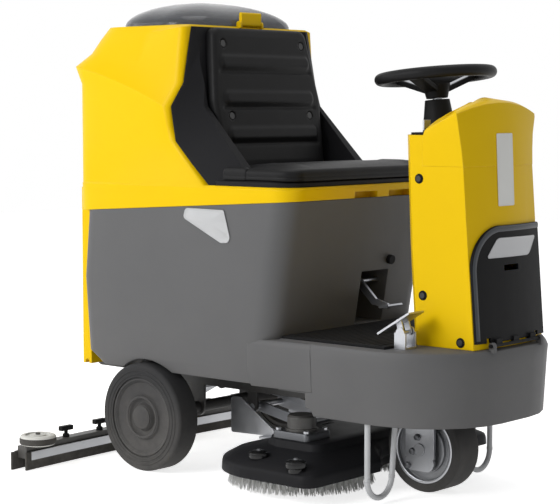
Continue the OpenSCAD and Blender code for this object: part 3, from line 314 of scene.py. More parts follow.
# %% Moulded skin
def moulded_skin():
    """Tone goes to a second colour by slow noise, height is fine noise, and
    roughness = level + spread * (patches - 0.5)."""
    tree, given = group(
        "moulded_skin", {"Colour": COLOUR, "Second": COLOUR, "Grain": FLOAT, "Roughness": FLOAT,
        "Spread": FLOAT}, {"Colour": COLOUR, "Roughness": FLOAT, "Height": FLOAT})
    place = object_place(tree)
    slow = noise(tree, place, Scale=5.0, Detail=4.0, Roughness=0.6)
    fine = noise(tree, place, Scale=given["Grain"], Detail=2.0)
    patches = noise(tree, place, Scale=22.0, Detail=5.0, Roughness=0.65)
    swing = combine(tree, "SUBTRACT", patches, 0.5)
    scaled = combine(tree, "MULTIPLY", swing, given["Spread"])
    put(tree, "NodeGroupOutput", Height=fine,
        Colour=mix_colours(tree, slow, given["Colour"], given["Second"]),
        Roughness=combine(tree, "ADD", given["Roughness"], scaled))
    return tree


SKIN = moulded_skin()
print("effect:", SKIN.name)

# %% [markdown]
# Corners are rubbed first on a machine that bumps along walls. They could be painted by hand, but a
# Bevel node finds them: it rounds the normal near an edge, and where that leaves the true normal,
# the worn colour shows.

# %% Rubbed edges
EDGE_STARTS, EDGE_FULL = 0.985, 0.82    # agreement of both normals
WEAR_GAPS = (0.42, 0.62)


def rubbed_edges():
    """Where the bevelled normal leaves the true one, an edge is near: the colour goes to the worn
    one by that mask, broken up by noise."""
    tree, given = group(
        "rubbed_edges", {"Colour": COLOUR, "Worn": COLOUR, "Reach": FLOAT, "Amount": FLOAT},
        {"Colour": COLOUR, "Normal": VECTOR})
    bevel = put(tree, "ShaderNodeBevel", {"samples": 4}, Radius=given["Reach"]).outputs[0]
    true = tree.nodes.new("ShaderNodeNewGeometry").outputs["Normal"]
    agree = put(tree, "ShaderNodeVectorMath", {"operation": "DOT_PRODUCT"}, in0=bevel, in1=true)
    near = mapped(tree, agree.outputs["Value"], start=(EDGE_STARTS, EDGE_FULL))
    broken = noise(tree, object_place(tree), Scale=45.0, Detail=5.0, Roughness=0.7)
    mask = combine(tree, "MULTIPLY", near, mapped(tree, broken, start=WEAR_GAPS))
    share = combine(tree, "MULTIPLY", mask, given["Amount"])
    put(tree, "NodeGroupOutput", Normal=bevel,
        Colour=mix_colours(tree, share, given["Colour"], given["Worn"]))
    return tree


EDGES = rubbed_edges()
print("effect:", EDGES.name)

# %% [markdown]
# A floor machine gathers dust near the floor. Dust painted on each piece would not line up from one
# piece to the next, so it falls off with height above the floor and is broken up by noise.

# %% Floor dust
def floor_dust():
    """Dust = a fall from 1 at the floor to 0 at Reach metres, times noise and Amount."""
    tree, given = group(
        "floor_dust", {"Colour": COLOUR, "Dust": COLOUR, "Reach": FLOAT, "Amount": FLOAT},
        {"Colour": COLOUR})
    place = object_place(tree)
    height = put(tree, "ShaderNodeSeparateXYZ", Vector=place).outputs["Z"]
    fall = mapped(tree, combine(tree, "DIVIDE", height, given["Reach"]), start=(1.0, 0.0))
    broken = noise(tree, place, Scale=16.0, Detail=6.0, Roughness=0.7)
    share = combine(tree, "MULTIPLY", combine(tree, "MULTIPLY", fall, broken), given["Amount"])
    put(tree, "NodeGroupOutput", Colour=mix_colours(tree, share, given["Colour"], given["Dust"]))
    return tree


DUST = floor_dust()
print("effect:", DUST.name)

# %% [markdown]
# A finish is then one function: the skin gives tone, roughness and grain, the edges are rubbed, dust
# lies on the lower parts, and one Principled shader takes them. Values that are the same all over,
# such as the metal share of a plastic, are set on the shader itself.

# %% Finish builder
GRAIN_DEPTH = 0.002  # metres
DUST_COLOUR = (0.35, 0.33, 0.30, 1.0)


def srgb(triple):
    """Linear colour of an sRGB triple: c / 12.92 when dark, else ((c + 0.055) / 1.055)^2.4."""
    c = np.array(triple) / 255.0
    linear = np.where(c <= 0.04045, c / 12.92, ((c + 0.055) / 1.055) ** 2.4)
    return (*linear.tolist(), 1.0)


def effect(tree, shared, **values):
    """What a shared effect gives in a material's tree for these values."""
    return put(tree, "ShaderNodeGroup", {"node_tree": shared}, **values).outputs


def finish(name, colour, second, rough, grain, bump, spread=0.12, worn=None, reach=0.003, wear=0.35,
           dust=0.0, dust_reach=0.35, metal=0.0, coat=0.0, specular=0.5):
    """A material from the shared effects. Colours are sRGB triples, and reaches are metres."""
    material, tree, shader = node_material(name)
    skin = effect(tree, SKIN, Colour=srgb(colour), Second=srgb(second), Grain=grain,
                  Roughness=rough, Spread=spread)
    edge = effect(tree, EDGES, Colour=skin["Colour"], Worn=srgb(worn or colour), Reach=reach,
                  Amount=wear if worn else 0.0)
    tone = edge["Colour"]
    if dust > 0.0:
        tone = effect(tree, DUST, Colour=tone, Dust=DUST_COLOUR, Reach=dust_reach,
                      Amount=dust)["Colour"]
    relief = put(tree, "ShaderNodeBump", Height=skin["Height"], Normal=edge["Normal"],
                 Strength=bump, Distance=GRAIN_DEPTH)
    fill(tree, shader, Base_Color=tone, Roughness=skin["Roughness"], Normal=relief.outputs[0],
         Metallic=metal, Coat_Weight=coat, Specular_IOR_Level=specular)
    return material


print("finish builder ready")

# %% [markdown]
# The mouldings come first, with their two tones, roughness, grain and bump. Dark plastics reflect
# little, so that the white studio doesn't wash them out, and dust gathers near the floor.

# %% Plastics and rubber
yellow_skin = finish(
    "yellow_moulding", (240, 199, 0), (236, 193, 0), 0.38, 420, 0.03, specular=0.12, spread=0.10,
    worn=(255, 222, 90), reach=0.004, wear=0.5)
grey_skin = finish(
    "grey_moulding", (96, 96, 97), (88, 88, 89), 0.55, 700, 0.06, specular=0.25,
    worn=(118, 118, 119), reach=0.004, wear=0.5, dust=0.12, dust_reach=0.5)
black_moulding = finish(
    "black_moulding", (24, 24, 25), (19, 19, 20), 0.5, 800, 0.06, specular=0.08, worn=(58, 58, 60),
    wear=0.5)
shell_moulding = finish(
    "shell_moulding", (33, 33, 35), (28, 28, 30), 0.5, 800, 0.06, specular=0.08, worn=(64, 64, 66),
    wear=0.5)
soft_skin = finish("foam_skin", (21, 21, 22), (16, 16, 17), 0.48, 1400, 0.12, specular=0.14)
rubber_skin = finish(
    "rubber", (26, 26, 27), (20, 20, 21), 0.72, 600, 0.10, specular=0.14, dust=0.5, dust_reach=0.3)
tyre_skin = finish(
    "tyre", (56, 56, 57), (47, 47, 48), 0.75, 500, 0.14, specular=0.16, worn=(86, 85, 84),
    reach=0.004, wear=0.6, dust=0.3, dust_reach=0.25)
hub_skin = finish(
    "hub_moulding", (52, 52, 54), (46, 46, 48), 0.55, 700, 0.06, specular=0.18, worn=(84, 84, 86),
    dust=0.4)
gloss_black = finish(
    "gloss_black", (20, 20, 21), (16, 16, 17), 0.22, 300, 0.02, spread=0.1, coat=0.1, specular=0.25)
nylon = finish("white_nylon", (226, 226, 222), (210, 210, 204), 0.5, 500, 0.05, dust=0.3)
print("mouldings:", len(bpy.data.materials))

# %% [markdown]
# A finish sits in a slot of the mesh. The slots are emptied first, so that each solid wears one
# finish only, the one that its real piece is moulded in.

# %% Dress the mouldings
def dress(material, *names):
    """The named solids wear that material."""
    for name in names:
        slots = nodes[name].data.materials
        slots.clear()
        slots.append(material)


dress(yellow_skin, "recovery_tank", "column_cover", "lid_latch")
dress(grey_skin, "solution_tank", "platform")
dress(shell_moulding, "seat_shell")
dress(black_moulding, "dash_panel", "front_hatch", "brush_deck", "drive_selector",
      "steering_spokes", "squeegee_knobs", "suction_inlet", "float_standpipe")
dress(soft_skin, "seat_cushion", "backrest_pad", "steering_rim")
dress(rubber_skin, "floor_mat", "rubber_stop", "squeegee_blades", "lid_gasket")
dress(tyre_skin, "rear_tyre_left", "rear_tyre_right", "drive_tyre")
dress(hub_skin, "rear_hub_left", "rear_hub_right", "rear_axle")
dress(nylon, "brush_left", "brush_right", "roller_left", "roller_right")
dress(finish("battery_case", (46, 46, 50), (40, 40, 44), 0.42, 500, 0.04), "batteries")
dress(finish("green_button", (40, 110, 50), (34, 96, 44), 0.4, 700, 0.02), "horn_button")
print("finishes:", len(bpy.data.materials))

# %% [markdown]
# Then come the metals and paints. Zinc and castings are true metals, paint is not, and on all of
# them the edges are rubbed in a thin line.

# %% Metals and paints
black_paint = finish(
    "black_paint", (28, 28, 29), (22, 22, 23), 0.42, 250, 0.05, worn=(110, 108, 104), reach=0.0015,
    wear=0.5, dust=0.4)
cast_dark = finish(
    "cast_dark", (92, 94, 98), (74, 76, 80), 0.42, 300, 0.1, spread=0.2, worn=(170, 172, 175),
    reach=0.002, dust=0.2, metal=0.8)
zinc = finish(
    "zinc_steel", (188, 190, 194), (160, 162, 167), 0.36, 350, 0.03, spread=0.25,
    worn=(225, 225, 228), reach=0.0012, dust=0.3, metal=1.0)
cast_metal = finish(
    "cast_metal", (150, 152, 156), (126, 128, 132), 0.5, 300, 0.12, spread=0.2,
    worn=(210, 210, 212), reach=0.002, dust=0.35, metal=1.0)
silver_paint = finish(
    "silver_paint", (205, 207, 210), (188, 190, 193), 0.4, 300, 0.03, worn=(150, 148, 144),
    reach=0.002, wear=0.4, dust=0.35)

dress(black_paint, "chassis_frame", "head_plate", "column_screws", "squeegee_body",
      "backrest_bolts")
dress(silver_paint, "anti_tip_bars")
dress(zinc, "head_bearings", "pedal_bracket", "accelerator_pedal", "lift_lever", "tank_hinge_pin",
      "steering_stub", "steering_shaft", "drive_fork", "lift_arms", "level_link", "squeegee_arm",
      "blade_clamps", "spoke_inserts", "ignition_key")
dress(cast_metal, "drive_rim", "drive_motor", "brush_motors", "vacuum_motor", "motor_controller")
print("finishes:", len(bpy.data.materials))

# %% [markdown]
# The lid is smoked clear plastic. Mixing in a Transparent shader would be quicker, but it wouldn't
# bend the light, so transmission is used with a plain value. A darker base colour tints what is seen
# through both walls, and a little noise in the roughness leaves smears.

# %% Smoked lid
smoked, smoked_tree, smoked_shader = node_material("smoked_clear")
smear = noise(smoked_tree, object_place(smoked_tree), Scale=14.0, Detail=5.0)
fill(smoked_tree, smoked_shader, Base_Color=srgb((132, 134, 138)), Transmission_Weight=0.85,
     IOR=1.3, Roughness=mapped(smoked_tree, smear, end=(0.05, 0.22)))
dress(smoked, "dome_lid")
print("lid:", smoked.name)

# %% [markdown]
# ## Outlines and rings
# Pads, plates, deck and lid all start from a closed outline with round corners. A curve object with
# a bevel could draw it, but its points would be spaced unevenly, and rings need the same number of
# points all the way in. So the corners are turned into arcs here, and the points share the length.

# %% Rounded outlines
ARC_POINTS = 13


def heading(angle):
    """Unit vectors (cos a, sin a)."""
    return np.stack([np.cos(angle), np.sin(angle)], axis=-1)


def unit(vectors):
    """Vectors of length 1 in the same directions."""
    return vectors / np.linalg.norm(vectors, axis=1, keepdims=True)


def mirrored(corners):
    """The corners of one half, and those of the other half behind them."""
    return corners + [(x, -y, r) for x, y, r in reversed(corners)]


def rounded_outline(corners, count):
    """A closed outline with arcs at its corners (x, y, radius), as count evenly spaced points: at a
    corner of angle 2 h, the arc starts radius / tan h and its middle is radius / sin h away."""
    table = np.array(corners, dtype=float)
    pts, radii = table[:, :2], table[:, 2]
    back, on = unit(np.roll(pts, 1, axis=0) - pts), unit(np.roll(pts, -1, axis=0) - pts)
    half = np.arccos(np.clip((back * on).sum(axis=1), -1, 1)) / 2
    run = (radii / np.tan(half))[:, None]
    middle = pts + unit(back + on) * (radii / np.sin(half))[:, None]
    first = np.arctan2(*(pts + back * run - middle).T[::-1])
    last = np.arctan2(*(pts + on * run - middle).T[::-1])
    turn = (last - first + math.pi) % (math.tau) - math.pi
    angle = first[:, None] + turn[:, None] * np.linspace(0, 1, ARC_POINTS)
    path = (middle[:, None] + radii[:, None, None] * heading(angle)).reshape(-1, 2)
    path = np.concatenate([path, path[:1]])
    steps = np.linalg.norm(np.diff(path, axis=0), axis=1)
    length = np.concatenate([[0], np.cumsum(steps)])
    at = np.linspace(0, length[-1], count, endpoint=False)
    return np.stack([np.interp(at, length, path[:, k]) for k in (0, 1)], axis=-1)


print("outlines ready")

# %% [markdown]
# An outline is then drawn in ring by ring towards its middle, while a profile says how far each ring
# stands out. Sizes are easier to read in millimetres from the rear axle, which is where they were
# measured, so small functions place them in the machine's frame.

# %% Rings and places
AXLE = 311.0  # mm from the rear axle to the frame's origin


def scaled_rings(outline, centre, shares):
    """Copies of an outline that keep a share of the distance to centre, or a share on each axis."""
    shares = np.asarray(shares, dtype=float)
    return np.array(centre) + (outline - np.array(centre)) * shares.reshape(len(shares), 1, -1)


def inset_rings(outline, centre, insets, reach):
    """Copies drawn in towards centre: inset d keeps 1 - d / reach of the distance on each axis."""
    return scaled_rings(outline, centre, 1.0 - np.asarray(insets)[:, None] / np.array(reach))


def in_frame(x, y, z):
    """Points in metres, from millimetres in the machine's frame."""
    return np.stack(np.broadcast_arrays(x, y, z), axis=-1) / 1000.0


def from_axle(x, y, z):
    """Points in metres in the machine's frame, from millimetres counted from the rear axle."""
    return in_frame(x - AXLE, y, z)


def lifted(plan, z):
    """Points of rings in plan, counted from the rear axle, at the heights z."""
    return from_axle(plan[..., 0], plan[..., 1], z)


print("rings ready, axle at", -AXLE, "mm")

# %% [markdown]
# A finished piece wears one material, rides on a body and may stand for CAD solids. Most are a tube
# of rings with closed ends. Two curves, a ramp and a bell, shape the pads below.

# %% Pieces
def add_piece(name, mesh, material, body, stands_for=(), crisp=True):
    """A mesh as a piece of the machine. Crisp keeps its edges sharp."""
    mesh.materials.append(material)
    piece = bpy.data.objects.new(name, mesh)
    scene.collection.objects.link(piece)
    if crisp:
        piece.modifiers.new("smooth", "NODES").node_group = smoothing
    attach(piece, body)
    if stands_for:
        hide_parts(*stands_for)
    return piece


def add_grid(name, points, material, body, stands_for=(), crisp=True, closed_u=True,
             closed_v=False, caps=True):
    """A piece over a grid of points, which is a tube with closed ends unless told otherwise."""
    mesh = grid_mesh(name, points, closed_u, closed_v, caps)
    return add_piece(name, mesh, material, body, stands_for, crisp)


def ramp(value, start, run):
    """0 up to start, then a straight rise to 1 over run."""
    return np.clip((value - start) / run, 0, 1)


def bell(distance, width):
    """exp(-(distance / width)^2)."""
    return np.exp(-(distance / width) ** 2)


print("pieces ready")

# %% [markdown]
# ## Seat cushion
# The cushion is moulded foam with a closed skin: wide in front of the seat's wings and narrow
# between them, with a rolled edge, a welt line round the side and a low crown. Cloth over a filling
# would wrinkle, and this skin doesn't, so the form is computed rather than simulated: the rings
# climb the side, follow a roll of fixed radius and rise to the crown, with two faint bolsters. Two
# small tips of the same skin lie in front of the wings.

# %% Seat cushion
SEAT_ROLL, SEAT_SIDE, SEAT_CROWN = 14, 16, 11  # mm: roll radius, side under it, crown
SEAT_LAST = 136  # inset of the last ring
BOLSTER_RISE, BOLSTER_Y, BOLSTER_WIDTH = 4, 228, 24
TIP_ROLL = 10
SEAT_CORNERS = [(492, 294, 48), (338, 294, 12), (338, 216, 10), (214, 211, 18)]
TIP_CORNERS = [(352, 295, 8), (250, 297, 5), (340, 259, 8)]

seat_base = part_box("seat_cushion")[0].z * 1000.0
side_inset, side_rise = [9, 3, 0, 0, 1.8, 0, 0], [0, 0.4, 3, 9, 10.5, 12, 15]
roll = np.linspace(0, math.pi / 2, 9)
roll_rise = SEAT_SIDE + SEAT_ROLL * np.sin(roll)
inward = np.linspace(SEAT_ROLL, SEAT_LAST, 44)[1:]
crown = 1 - (1 - ramp(inward, SEAT_ROLL, SEAT_LAST - SEAT_ROLL)) ** 2.2
inset = np.concatenate([side_inset, SEAT_ROLL * (1 - np.cos(roll)), inward])
rise = np.concatenate([side_rise, roll_rise, SEAT_SIDE + SEAT_ROLL + SEAT_CROWN * crown])
plan = inset_rings(rounded_outline(mirrored(SEAT_CORNERS), 420), (395, 0), inset, (140, 290))
bolster = BOLSTER_RISE * bell(np.abs(plan[..., 1]) - BOLSTER_Y, BOLSTER_WIDTH)
seat_z = seat_base + rise[:, None] + bolster * ramp(inset, 20, 30)[:, None]
cushion = add_grid("seat_cushion_skin", lifted(plan, seat_z), soft_skin, "upper_tank",
                   stands_for=("seat_cushion",), crisp=False)
tip_inset = np.concatenate([side_inset, TIP_ROLL * (1 - np.cos(roll)), [14, 18, 21]])
tip_rise = np.concatenate([side_rise, roll_rise, [31.5, 32.5, 33]])
for label, sign in SIDES:
    outline = rounded_outline([(x, sign * y, r) for x, y, r in TIP_CORNERS[::sign]], 120)
    plan = inset_rings(outline, (322, sign * 285), tip_inset, (60, 22))
    tip = add_grid(f"seat_tip_{label}", lifted(plan, seat_base + tip_rise[:, None]), soft_skin,
                   "upper_tank", crisp=False)
print("cushion points:", seat_z.shape)

# %% [markdown]
# ## Backrest pad
# The pad leans back on the tank and has the same foam skin. Three raised lozenges cross it, each
# swelling towards its lower edge with a groove below. They could be sculpted, but then each would
# come out differently, so one formula gives the height of all three.

# %% Lozenges
LOZENGE_HALF, LOZENGE_HIGH, LOZENGE_RADIUS, LOZENGE_RISE = 180, 45, 20, 7
GROOVE_DEPTH, GROOVE_DROP, GROOVE_WIDTH = 4, 4, 4.5


def lozenge(y, z, foot):
    """Rise of a lozenge over its foot: a rounded box's distance, smoothed over 14 mm by
    3 s^2 - 2 s^3, fuller towards the foot, less a groove below it."""
    past_y = np.abs(y) - LOZENGE_HALF + LOZENGE_RADIUS
    past_z = np.abs(z - foot - LOZENGE_HIGH / 2) - LOZENGE_HIGH / 2 + LOZENGE_RADIUS
    inside = np.minimum(np.maximum(past_y, past_z), 0.0)
    outside = np.hypot(np.maximum(past_y, 0.0), np.maximum(past_z, 0.0)) + inside - LOZENGE_RADIUS
    soft = ramp(-outside, 0.0, 14.0)
    fuller = 1.2 - 0.5 * (z - foot) / LOZENGE_HIGH
    groove = GROOVE_DEPTH * bell(z - foot + GROOVE_DROP, GROOVE_WIDTH)
    ends = ramp(186.0 - np.abs(y), 0.0, 10.0)
    return LOZENGE_RISE * soft * soft * (3 - 2 * soft) * fuller - groove * ends


print("rise of a lozenge:", LOZENGE_RISE, "mm")

# %% [markdown]
# The pad itself is made as the cushion is. Its height is the lozenges over a slight bulge, and four
# round pockets are pressed into it, so that the bolt heads sit below the surface.

# %% Backrest pad
LEAN = math.radians(9.6)
PAD_X, PAD_Z = 115, 1095  # mm: a point of the plane that the pad leans on
PAD_ROLL, PAD_SIDE, PAD_LAST = 12, 18, 176
PAD_BULGE, PAD_HALF = 3, 212
LOZENGE_FEET, BOLT_Y, BOLT_HEIGHTS = (843, 935, 1027), 154, (911, 1095)
PAD_CORNERS = [(182, 1138, 26), (-182, 1138, 26), (-209.5, 950, 60), (-197, 773, 16),
               (197, 773, 16), (209.5, 950, 60)]

pad_inset = np.concatenate([[8, 2, 0, 0], PAD_ROLL * (1 - np.cos(roll)),
                            np.linspace(PAD_ROLL, PAD_LAST, 70)[1:]])
pad_edge = np.concatenate([[0.4, 0.6, 3, 12], PAD_SIDE + PAD_ROLL * np.sin(roll),
                           np.full(69, PAD_SIDE + PAD_ROLL)])
plan = inset_rings(rounded_outline(PAD_CORNERS, 440), (0, 955), pad_inset, (200, 182))
across, up = plan[..., 0], plan[..., 1]
relief = sum(lozenge(across, up, foot) for foot in LOZENGE_FEET)
relief = relief + PAD_BULGE * (1 - (across / PAD_HALF) ** 2)
depth = pad_edge[:, None] + ramp(pad_inset, 10.0, 14.0)[:, None] * relief
for bolt_z in BOLT_HEIGHTS:
    far = np.hypot(np.abs(across) - BOLT_Y, up - bolt_z)
    depth = np.minimum(depth, 22.0 + 40.0 * ramp(far, 10.5, 3.5))
pad_x = PAD_X + (PAD_Z - up) * math.tan(LEAN) + depth * math.cos(LEAN)
pad = add_grid("backrest_skin", from_axle(pad_x, across, up + depth * math.sin(LEAN)), soft_skin,
               "upper_tank", stands_for=("backrest_pad",), crisp=False)
print("backrest points:", depth.shape)

# %% [markdown]
# ## Turned forms
# Knobs, bolts, rings and brush backs are turned on a lathe. Blender's Screw modifier could spin a
# profile, but its object would need an origin on the axis, and every piece here keeps the machine's
# origin. So cosine and sine carry the profile round an upright axis, or round an axle along Y.

# %% Turned forms
def spun(profile, count):
    """Rows (r, h) turned round an axis: r cos a, r sin a and h for count even angles a."""
    rows = np.array(profile, dtype=float)
    angle = np.linspace(0, math.tau, count, endpoint=False)
    return (rows[:, :1] * np.cos(angle), rows[:, :1] * np.sin(angle),
            np.repeat(rows[:, 1:], count, axis=1))


def turned(name, middle, profile, count, material, body, **joins):
    """A form round an upright axis at middle: rows are (radius, z) in mm, from its foot up."""
    x, y, z = spun(profile, count)
    points = from_axle(middle[0] + x, middle[1] + y, z)
    add_grid(name, points, material, body, **joins)


def turned_across(name, axle, profile, count, material, body, **joins):
    """A form round an axle along Y at (x, z): rows are (radius, y) in metres, towards +Y. It turns
    the other way round than an upright one, so that its faces point outwards."""
    x, z, y = spun(profile, count)
    points = np.stack([axle[0] + x, y, axle[1] - z], axis=-1)
    add_grid(name, points, material, body, **joins)


def outward(profile, y, sign):
    """Rows (radius, height) in mm as (radius, y) in metres, standing out from a side at y. The
    order is always towards +Y, so a right side's rows are reversed."""
    radius, height = np.array(profile, dtype=float).T / 1000.0
    return np.stack([radius, y + sign * height], axis=-1)[::sign]


def ring_across(name, axle, middle, half, y, sign, rise, material, body):
    """A ring with round shoulders on a side at y: radius middle + half cos t and height
    rise sqrt(sin t), for t from 0 to pi."""
    t = np.linspace(0, math.pi, 9)
    height = sign * rise * np.sin(t) ** 0.5
    profile = np.stack([middle + half * np.cos(t), y + height], axis=-1)[::sign]
    turned_across(name, axle, profile, 120, material, body, crisp=False, caps=False)


print("turned forms ready")

# %% [markdown]
# ## Brushes
# Each disc brush is a moulded back with rings of white tufts. A tuft is nine thin tapered strands
# that fan out towards the floor, which no CAD solid needs to carry. A hair system could grow them,
# but only meshes leave Blender with the machine, so a strand is a thin tube of three sides, and all
# of them are one mesh.

# %% Strands
STRAND_THICK, STRAND_RINGS, STRAND_SIDES = 0.0013, 4, 3  # thickness in metres


def strands(bases, tips):
    """Tapered tubes: for t from 0 to 1 a ring is at base + (tip - base) t, bowed sideways by
    (t^2 - t) / 4 of its reach, and has 1 - 0.55 t of the thickness."""
    t = np.linspace(0, 1, STRAND_RINGS)[None, :, None]
    line = bases[:, None] * (1 - t) + tips[:, None] * t
    line[..., :2] += 0.25 * (tips - bases)[:, None, :2] * (t * t - t)
    angle = np.arange(STRAND_SIDES) * math.tau / STRAND_SIDES
    ring = np.concatenate([heading(angle), np.zeros((STRAND_SIDES, 1))], axis=1) * STRAND_THICK
    points = line[:, :, None] + ring * (1.0 - 0.55 * t)[..., None]
    index = np.arange(points.size // 3).reshape(-1, STRAND_RINGS, STRAND_SIDES)
    low, high = index[:, :-1], index[:, 1:]
    corners = [low, high, np.roll(high, -1, axis=2), np.roll(low, -1, axis=2)]
    return points.reshape(-1, 3), np.stack(corners, axis=-1).reshape(-1, 4)


print("faces of a strand:", (STRAND_RINGS - 1) * STRAND_SIDES)

# %% [markdown]
# The tufts stand in five rings, each turned by half a step. Real tufts never stand quite alike, so
# roots and tips are scattered a little, and a fixed seed keeps every run the same.

# %% Tufts
TUFT_RINGS, OUTER_TUFTS, TUFT_STRANDS = 5, 62, 9
OUTER_RADIUS, RING_STEP, TUFT_RADIUS, STRAND_TOP = 0.170, 0.016, 0.0042, 0.036  # metres


def tufts(middle, floor, seed):
    """Root and tip of every strand: rings of tufts, and strands scattered over each tuft's disc."""
    rng = np.random.default_rng(seed)
    bases, tips = [], []
    for row in range(TUFT_RINGS):
        radius = OUTER_RADIUS - row * RING_STEP
        count = int(OUTER_TUFTS * radius / OUTER_RADIUS)
        tuft = (count, TUFT_STRANDS)
        way = heading(math.tau * (np.arange(count) + row / 2) / count)[:, None]
        turn = rng.uniform(0, math.tau, tuft)
        spread = TUFT_RADIUS * np.sqrt(rng.uniform(0.05, 1, tuft))
        off = heading(turn) * spread[..., None]
        root = middle + way * radius + off
        tip = root + off * 0.9 + way * rng.uniform(0.003, 0.008, (*tuft, 1))
        tip_z = floor + rng.uniform(0.0, 0.003, (*tuft, 1))
        root_z = np.full((*tuft, 1), floor + STRAND_TOP)
        bases.append(np.concatenate([root, root_z], axis=-1).reshape(-1, 3))
        tips.append(np.concatenate([tip, tip_z], axis=-1).reshape(-1, 3))
    return np.concatenate(bases), np.concatenate(tips)


print("tufts on the outer ring:", OUTER_TUFTS)

# %% [markdown]
# The strands are set into a round plastic back, which is a profile spun about the brush's axle.
# The strands stand for the plain CAD brush, and both pieces turn with its body.

# %% Brush heads
BRUSH_BACK = np.array([[9, 34], [176, 34], [177.5, 36], [177.5, 42], [175, 44], [34, 44], [34, 50],
                       [9, 50]]) / 1000.0
bristle_white = finish(
    "bristles", (250, 250, 248), (236, 237, 234), 0.42, 300, 0.0, dust=0.12, dust_reach=0.06)


def brush_head(side, node, body, seed):
    """The tufts and the back of one brush, in the place of its CAD solid."""
    low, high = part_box(node)
    middle = np.array([(low.x + high.x) / 2, (low.y + high.y) / 2])
    points, quads = strands(*tufts(middle, low.z, seed))
    add_piece(f"bristles_{side}", smooth_mesh(f"bristles_{side}", points, quads.tolist()),
              bristle_white, body, stands_for=(node,), crisp=False)
    x, y, z = spun(BRUSH_BACK, 96)
    back = np.stack([middle[0] + x, middle[1] + y, low.z + z], axis=-1)
    add_grid(f"brush_back_{side}", back, black_moulding, body, closed_v=True, caps=False)
    return len(quads)


print("strand faces:", brush_head("left", "brush_left", "left_brush", 3),
      brush_head("right", "brush_right", "right_brush", 4))

# %% [markdown]
# ## Bare plates
# The column, the hatch and the tank's side carry thin bare plates with rounded corners and a fine
# raised edge. A Shrinkwrap modifier could lay a flat plate on the column, but its front has a plain
# formula: a corner line and a bow across the width, both by height.

# %% Front of the column
COLUMN_HALF = 146.0  # mm
COLUMN_ROWS = np.array([[378.3, 916, 12], [611, 897, 14], [873, 877, 22]])  # z, corner x, bow


def column_front(y, z):
    """x of the column's front: corner + bow (1 - (y / half)^2), with corner and bow by height."""
    corner, bow = (np.interp(z, COLUMN_ROWS[:, 0], COLUMN_ROWS[:, k]) for k in (1, 2))
    return corner + bow * (1 - (y / COLUMN_HALF) ** 2)


print("front at mid height:", round(float(column_front(0, 611)), 1), "mm from the axle")

# %% [markdown]
# With that formula, every ring of a plate is bent as the column is, and lies on it all over. The
# hatch stands out from the column, so its plate is lifted by more.

# %% Front plates
COLUMN_PLATE = [(30, 877, 3), (-36, 877, 3), (-36, 707, 3), (30, 707, 3)]  # mm: y, z, radius
HATCH_PLATE = [(122, 632, 4), (-52, 634, 26), (-95, 588, 4), (82, 587, 26)]
PLATE_EDGE = 3.0  # the raised edge and the step down from it
plate_white = finish("plate_white", (236, 236, 232), (222, 222, 218), 0.38, 200, 0.02)
plate_silver = finish("plate_silver", (206, 207, 209), (190, 191, 194), 0.34, 240, 0.03, coat=0.3)


def front_plate(name, corners, middle, reach, lift, material, body):
    """A bare plate on the column's front: rings in (y, z) with a raised edge 2 mm wide. Past the
    edge the insets stretch along the longer axis, so that the flat field's rings meet."""
    reach, least = np.array(reach), min(reach)
    insets = np.concatenate([[0.6, 0, 0, 0.5, 1.6, 2.4], np.linspace(PLATE_EDGE, 0.96 * least, 10)])
    heights = np.concatenate([[0, 0.2, 1.2, 1.7, 1.7, 1.2], np.full(10, 1.1)])
    longer = (reach / least - 1.0) * ramp(insets, PLATE_EDGE, least - PLATE_EDGE)[:, None]
    shares = 1 - insets[:, None] * (1.0 + longer) / reach
    y, z = np.moveaxis(scaled_rings(rounded_outline(corners, 160), middle, shares), -1, 0)
    points = from_axle(column_front(y, z) + lift + heights[:, None], y, z)
    add_grid(name, points, material, body)


front_plate("column_plate", COLUMN_PLATE, (-3, 792), (33, 85), 0.9, plate_white, "chassis")
front_plate("hatch_plate", HATCH_PLATE, (14, 610), (105, 23), 6.95, plate_silver, "hatch")
print("front plates placed")

# %% [markdown]
# The plate on the tank's right side is a flat sheet of five corners. The side is upright and flat
# there, so its place comes from the tank's own box.

# %% Tank plate
TANK_PLATE = [(-168, 662, 10), (-40, 604, 16), (-6, 606, 14), (-30, 686, 8), (-160, 687, 12)]
plate_satin = finish("plate_satin", (190, 191, 192), (178, 179, 181), 0.4, 240, 0.03)
tank_inset = [0.5, 0, 0, 0.6, 2.2, 3, 10, 20, 28]
tank_rise = np.array([0, 0.2, 0.9, 1.3, 1.3, 0.9, 0.8, 0.8, 0.8])[:, None]
plan = inset_rings(rounded_outline(TANK_PLATE, 160), (-75, 655), tank_inset, (82, 40))
tank_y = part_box("solution_tank")[0].y * 1000.0 - tank_rise
add_grid("tank_plate", in_frame(plan[..., 0], tank_y, plan[..., 1]), plate_satin, "chassis")
print("tank plate at y", round(float(tank_y.min()), 1), "mm")

# %% [markdown]
# ## Rim of the hatch
# The hatch has a bevelled rim up its right side, round its large corner and along its top. A Bevel
# modifier on the solid would round every edge of it, so the rim is a strip of its own: the same path
# drawn in by five steps, with a rise for each. Its blue-grey colour, lighter than the black hatch,
# is a painted highlight where the bevel catches the light.

# %% Rim of the hatch
HATCH_FACE, RIM_WIDTH = 6.8, 13  # mm
# painted highlight: the rim's lighter blue-grey stands in for the light on the black hatch's bevel
rim_painted_highlight = finish("hatch_rim", (58, 62, 68), (50, 53, 58), 0.36, 700, 0.04, specular=0.3)


def rim_edge(inset):
    """(y, z) along the hatch's rim, drawn in by inset: its side, round corner and top."""
    arc = np.linspace(math.pi, math.pi / 2, 24)
    y = np.concatenate([np.full(6, inset - 143), -38 + (105 - inset) * np.cos(arc),
                        np.linspace(-38, 143, 12)[1:]])
    z = np.concatenate([np.linspace(400, 548, 6), 554 + (107 - inset) * np.sin(arc),
                        np.full(11, 661 - inset)])
    return np.stack([y, z])


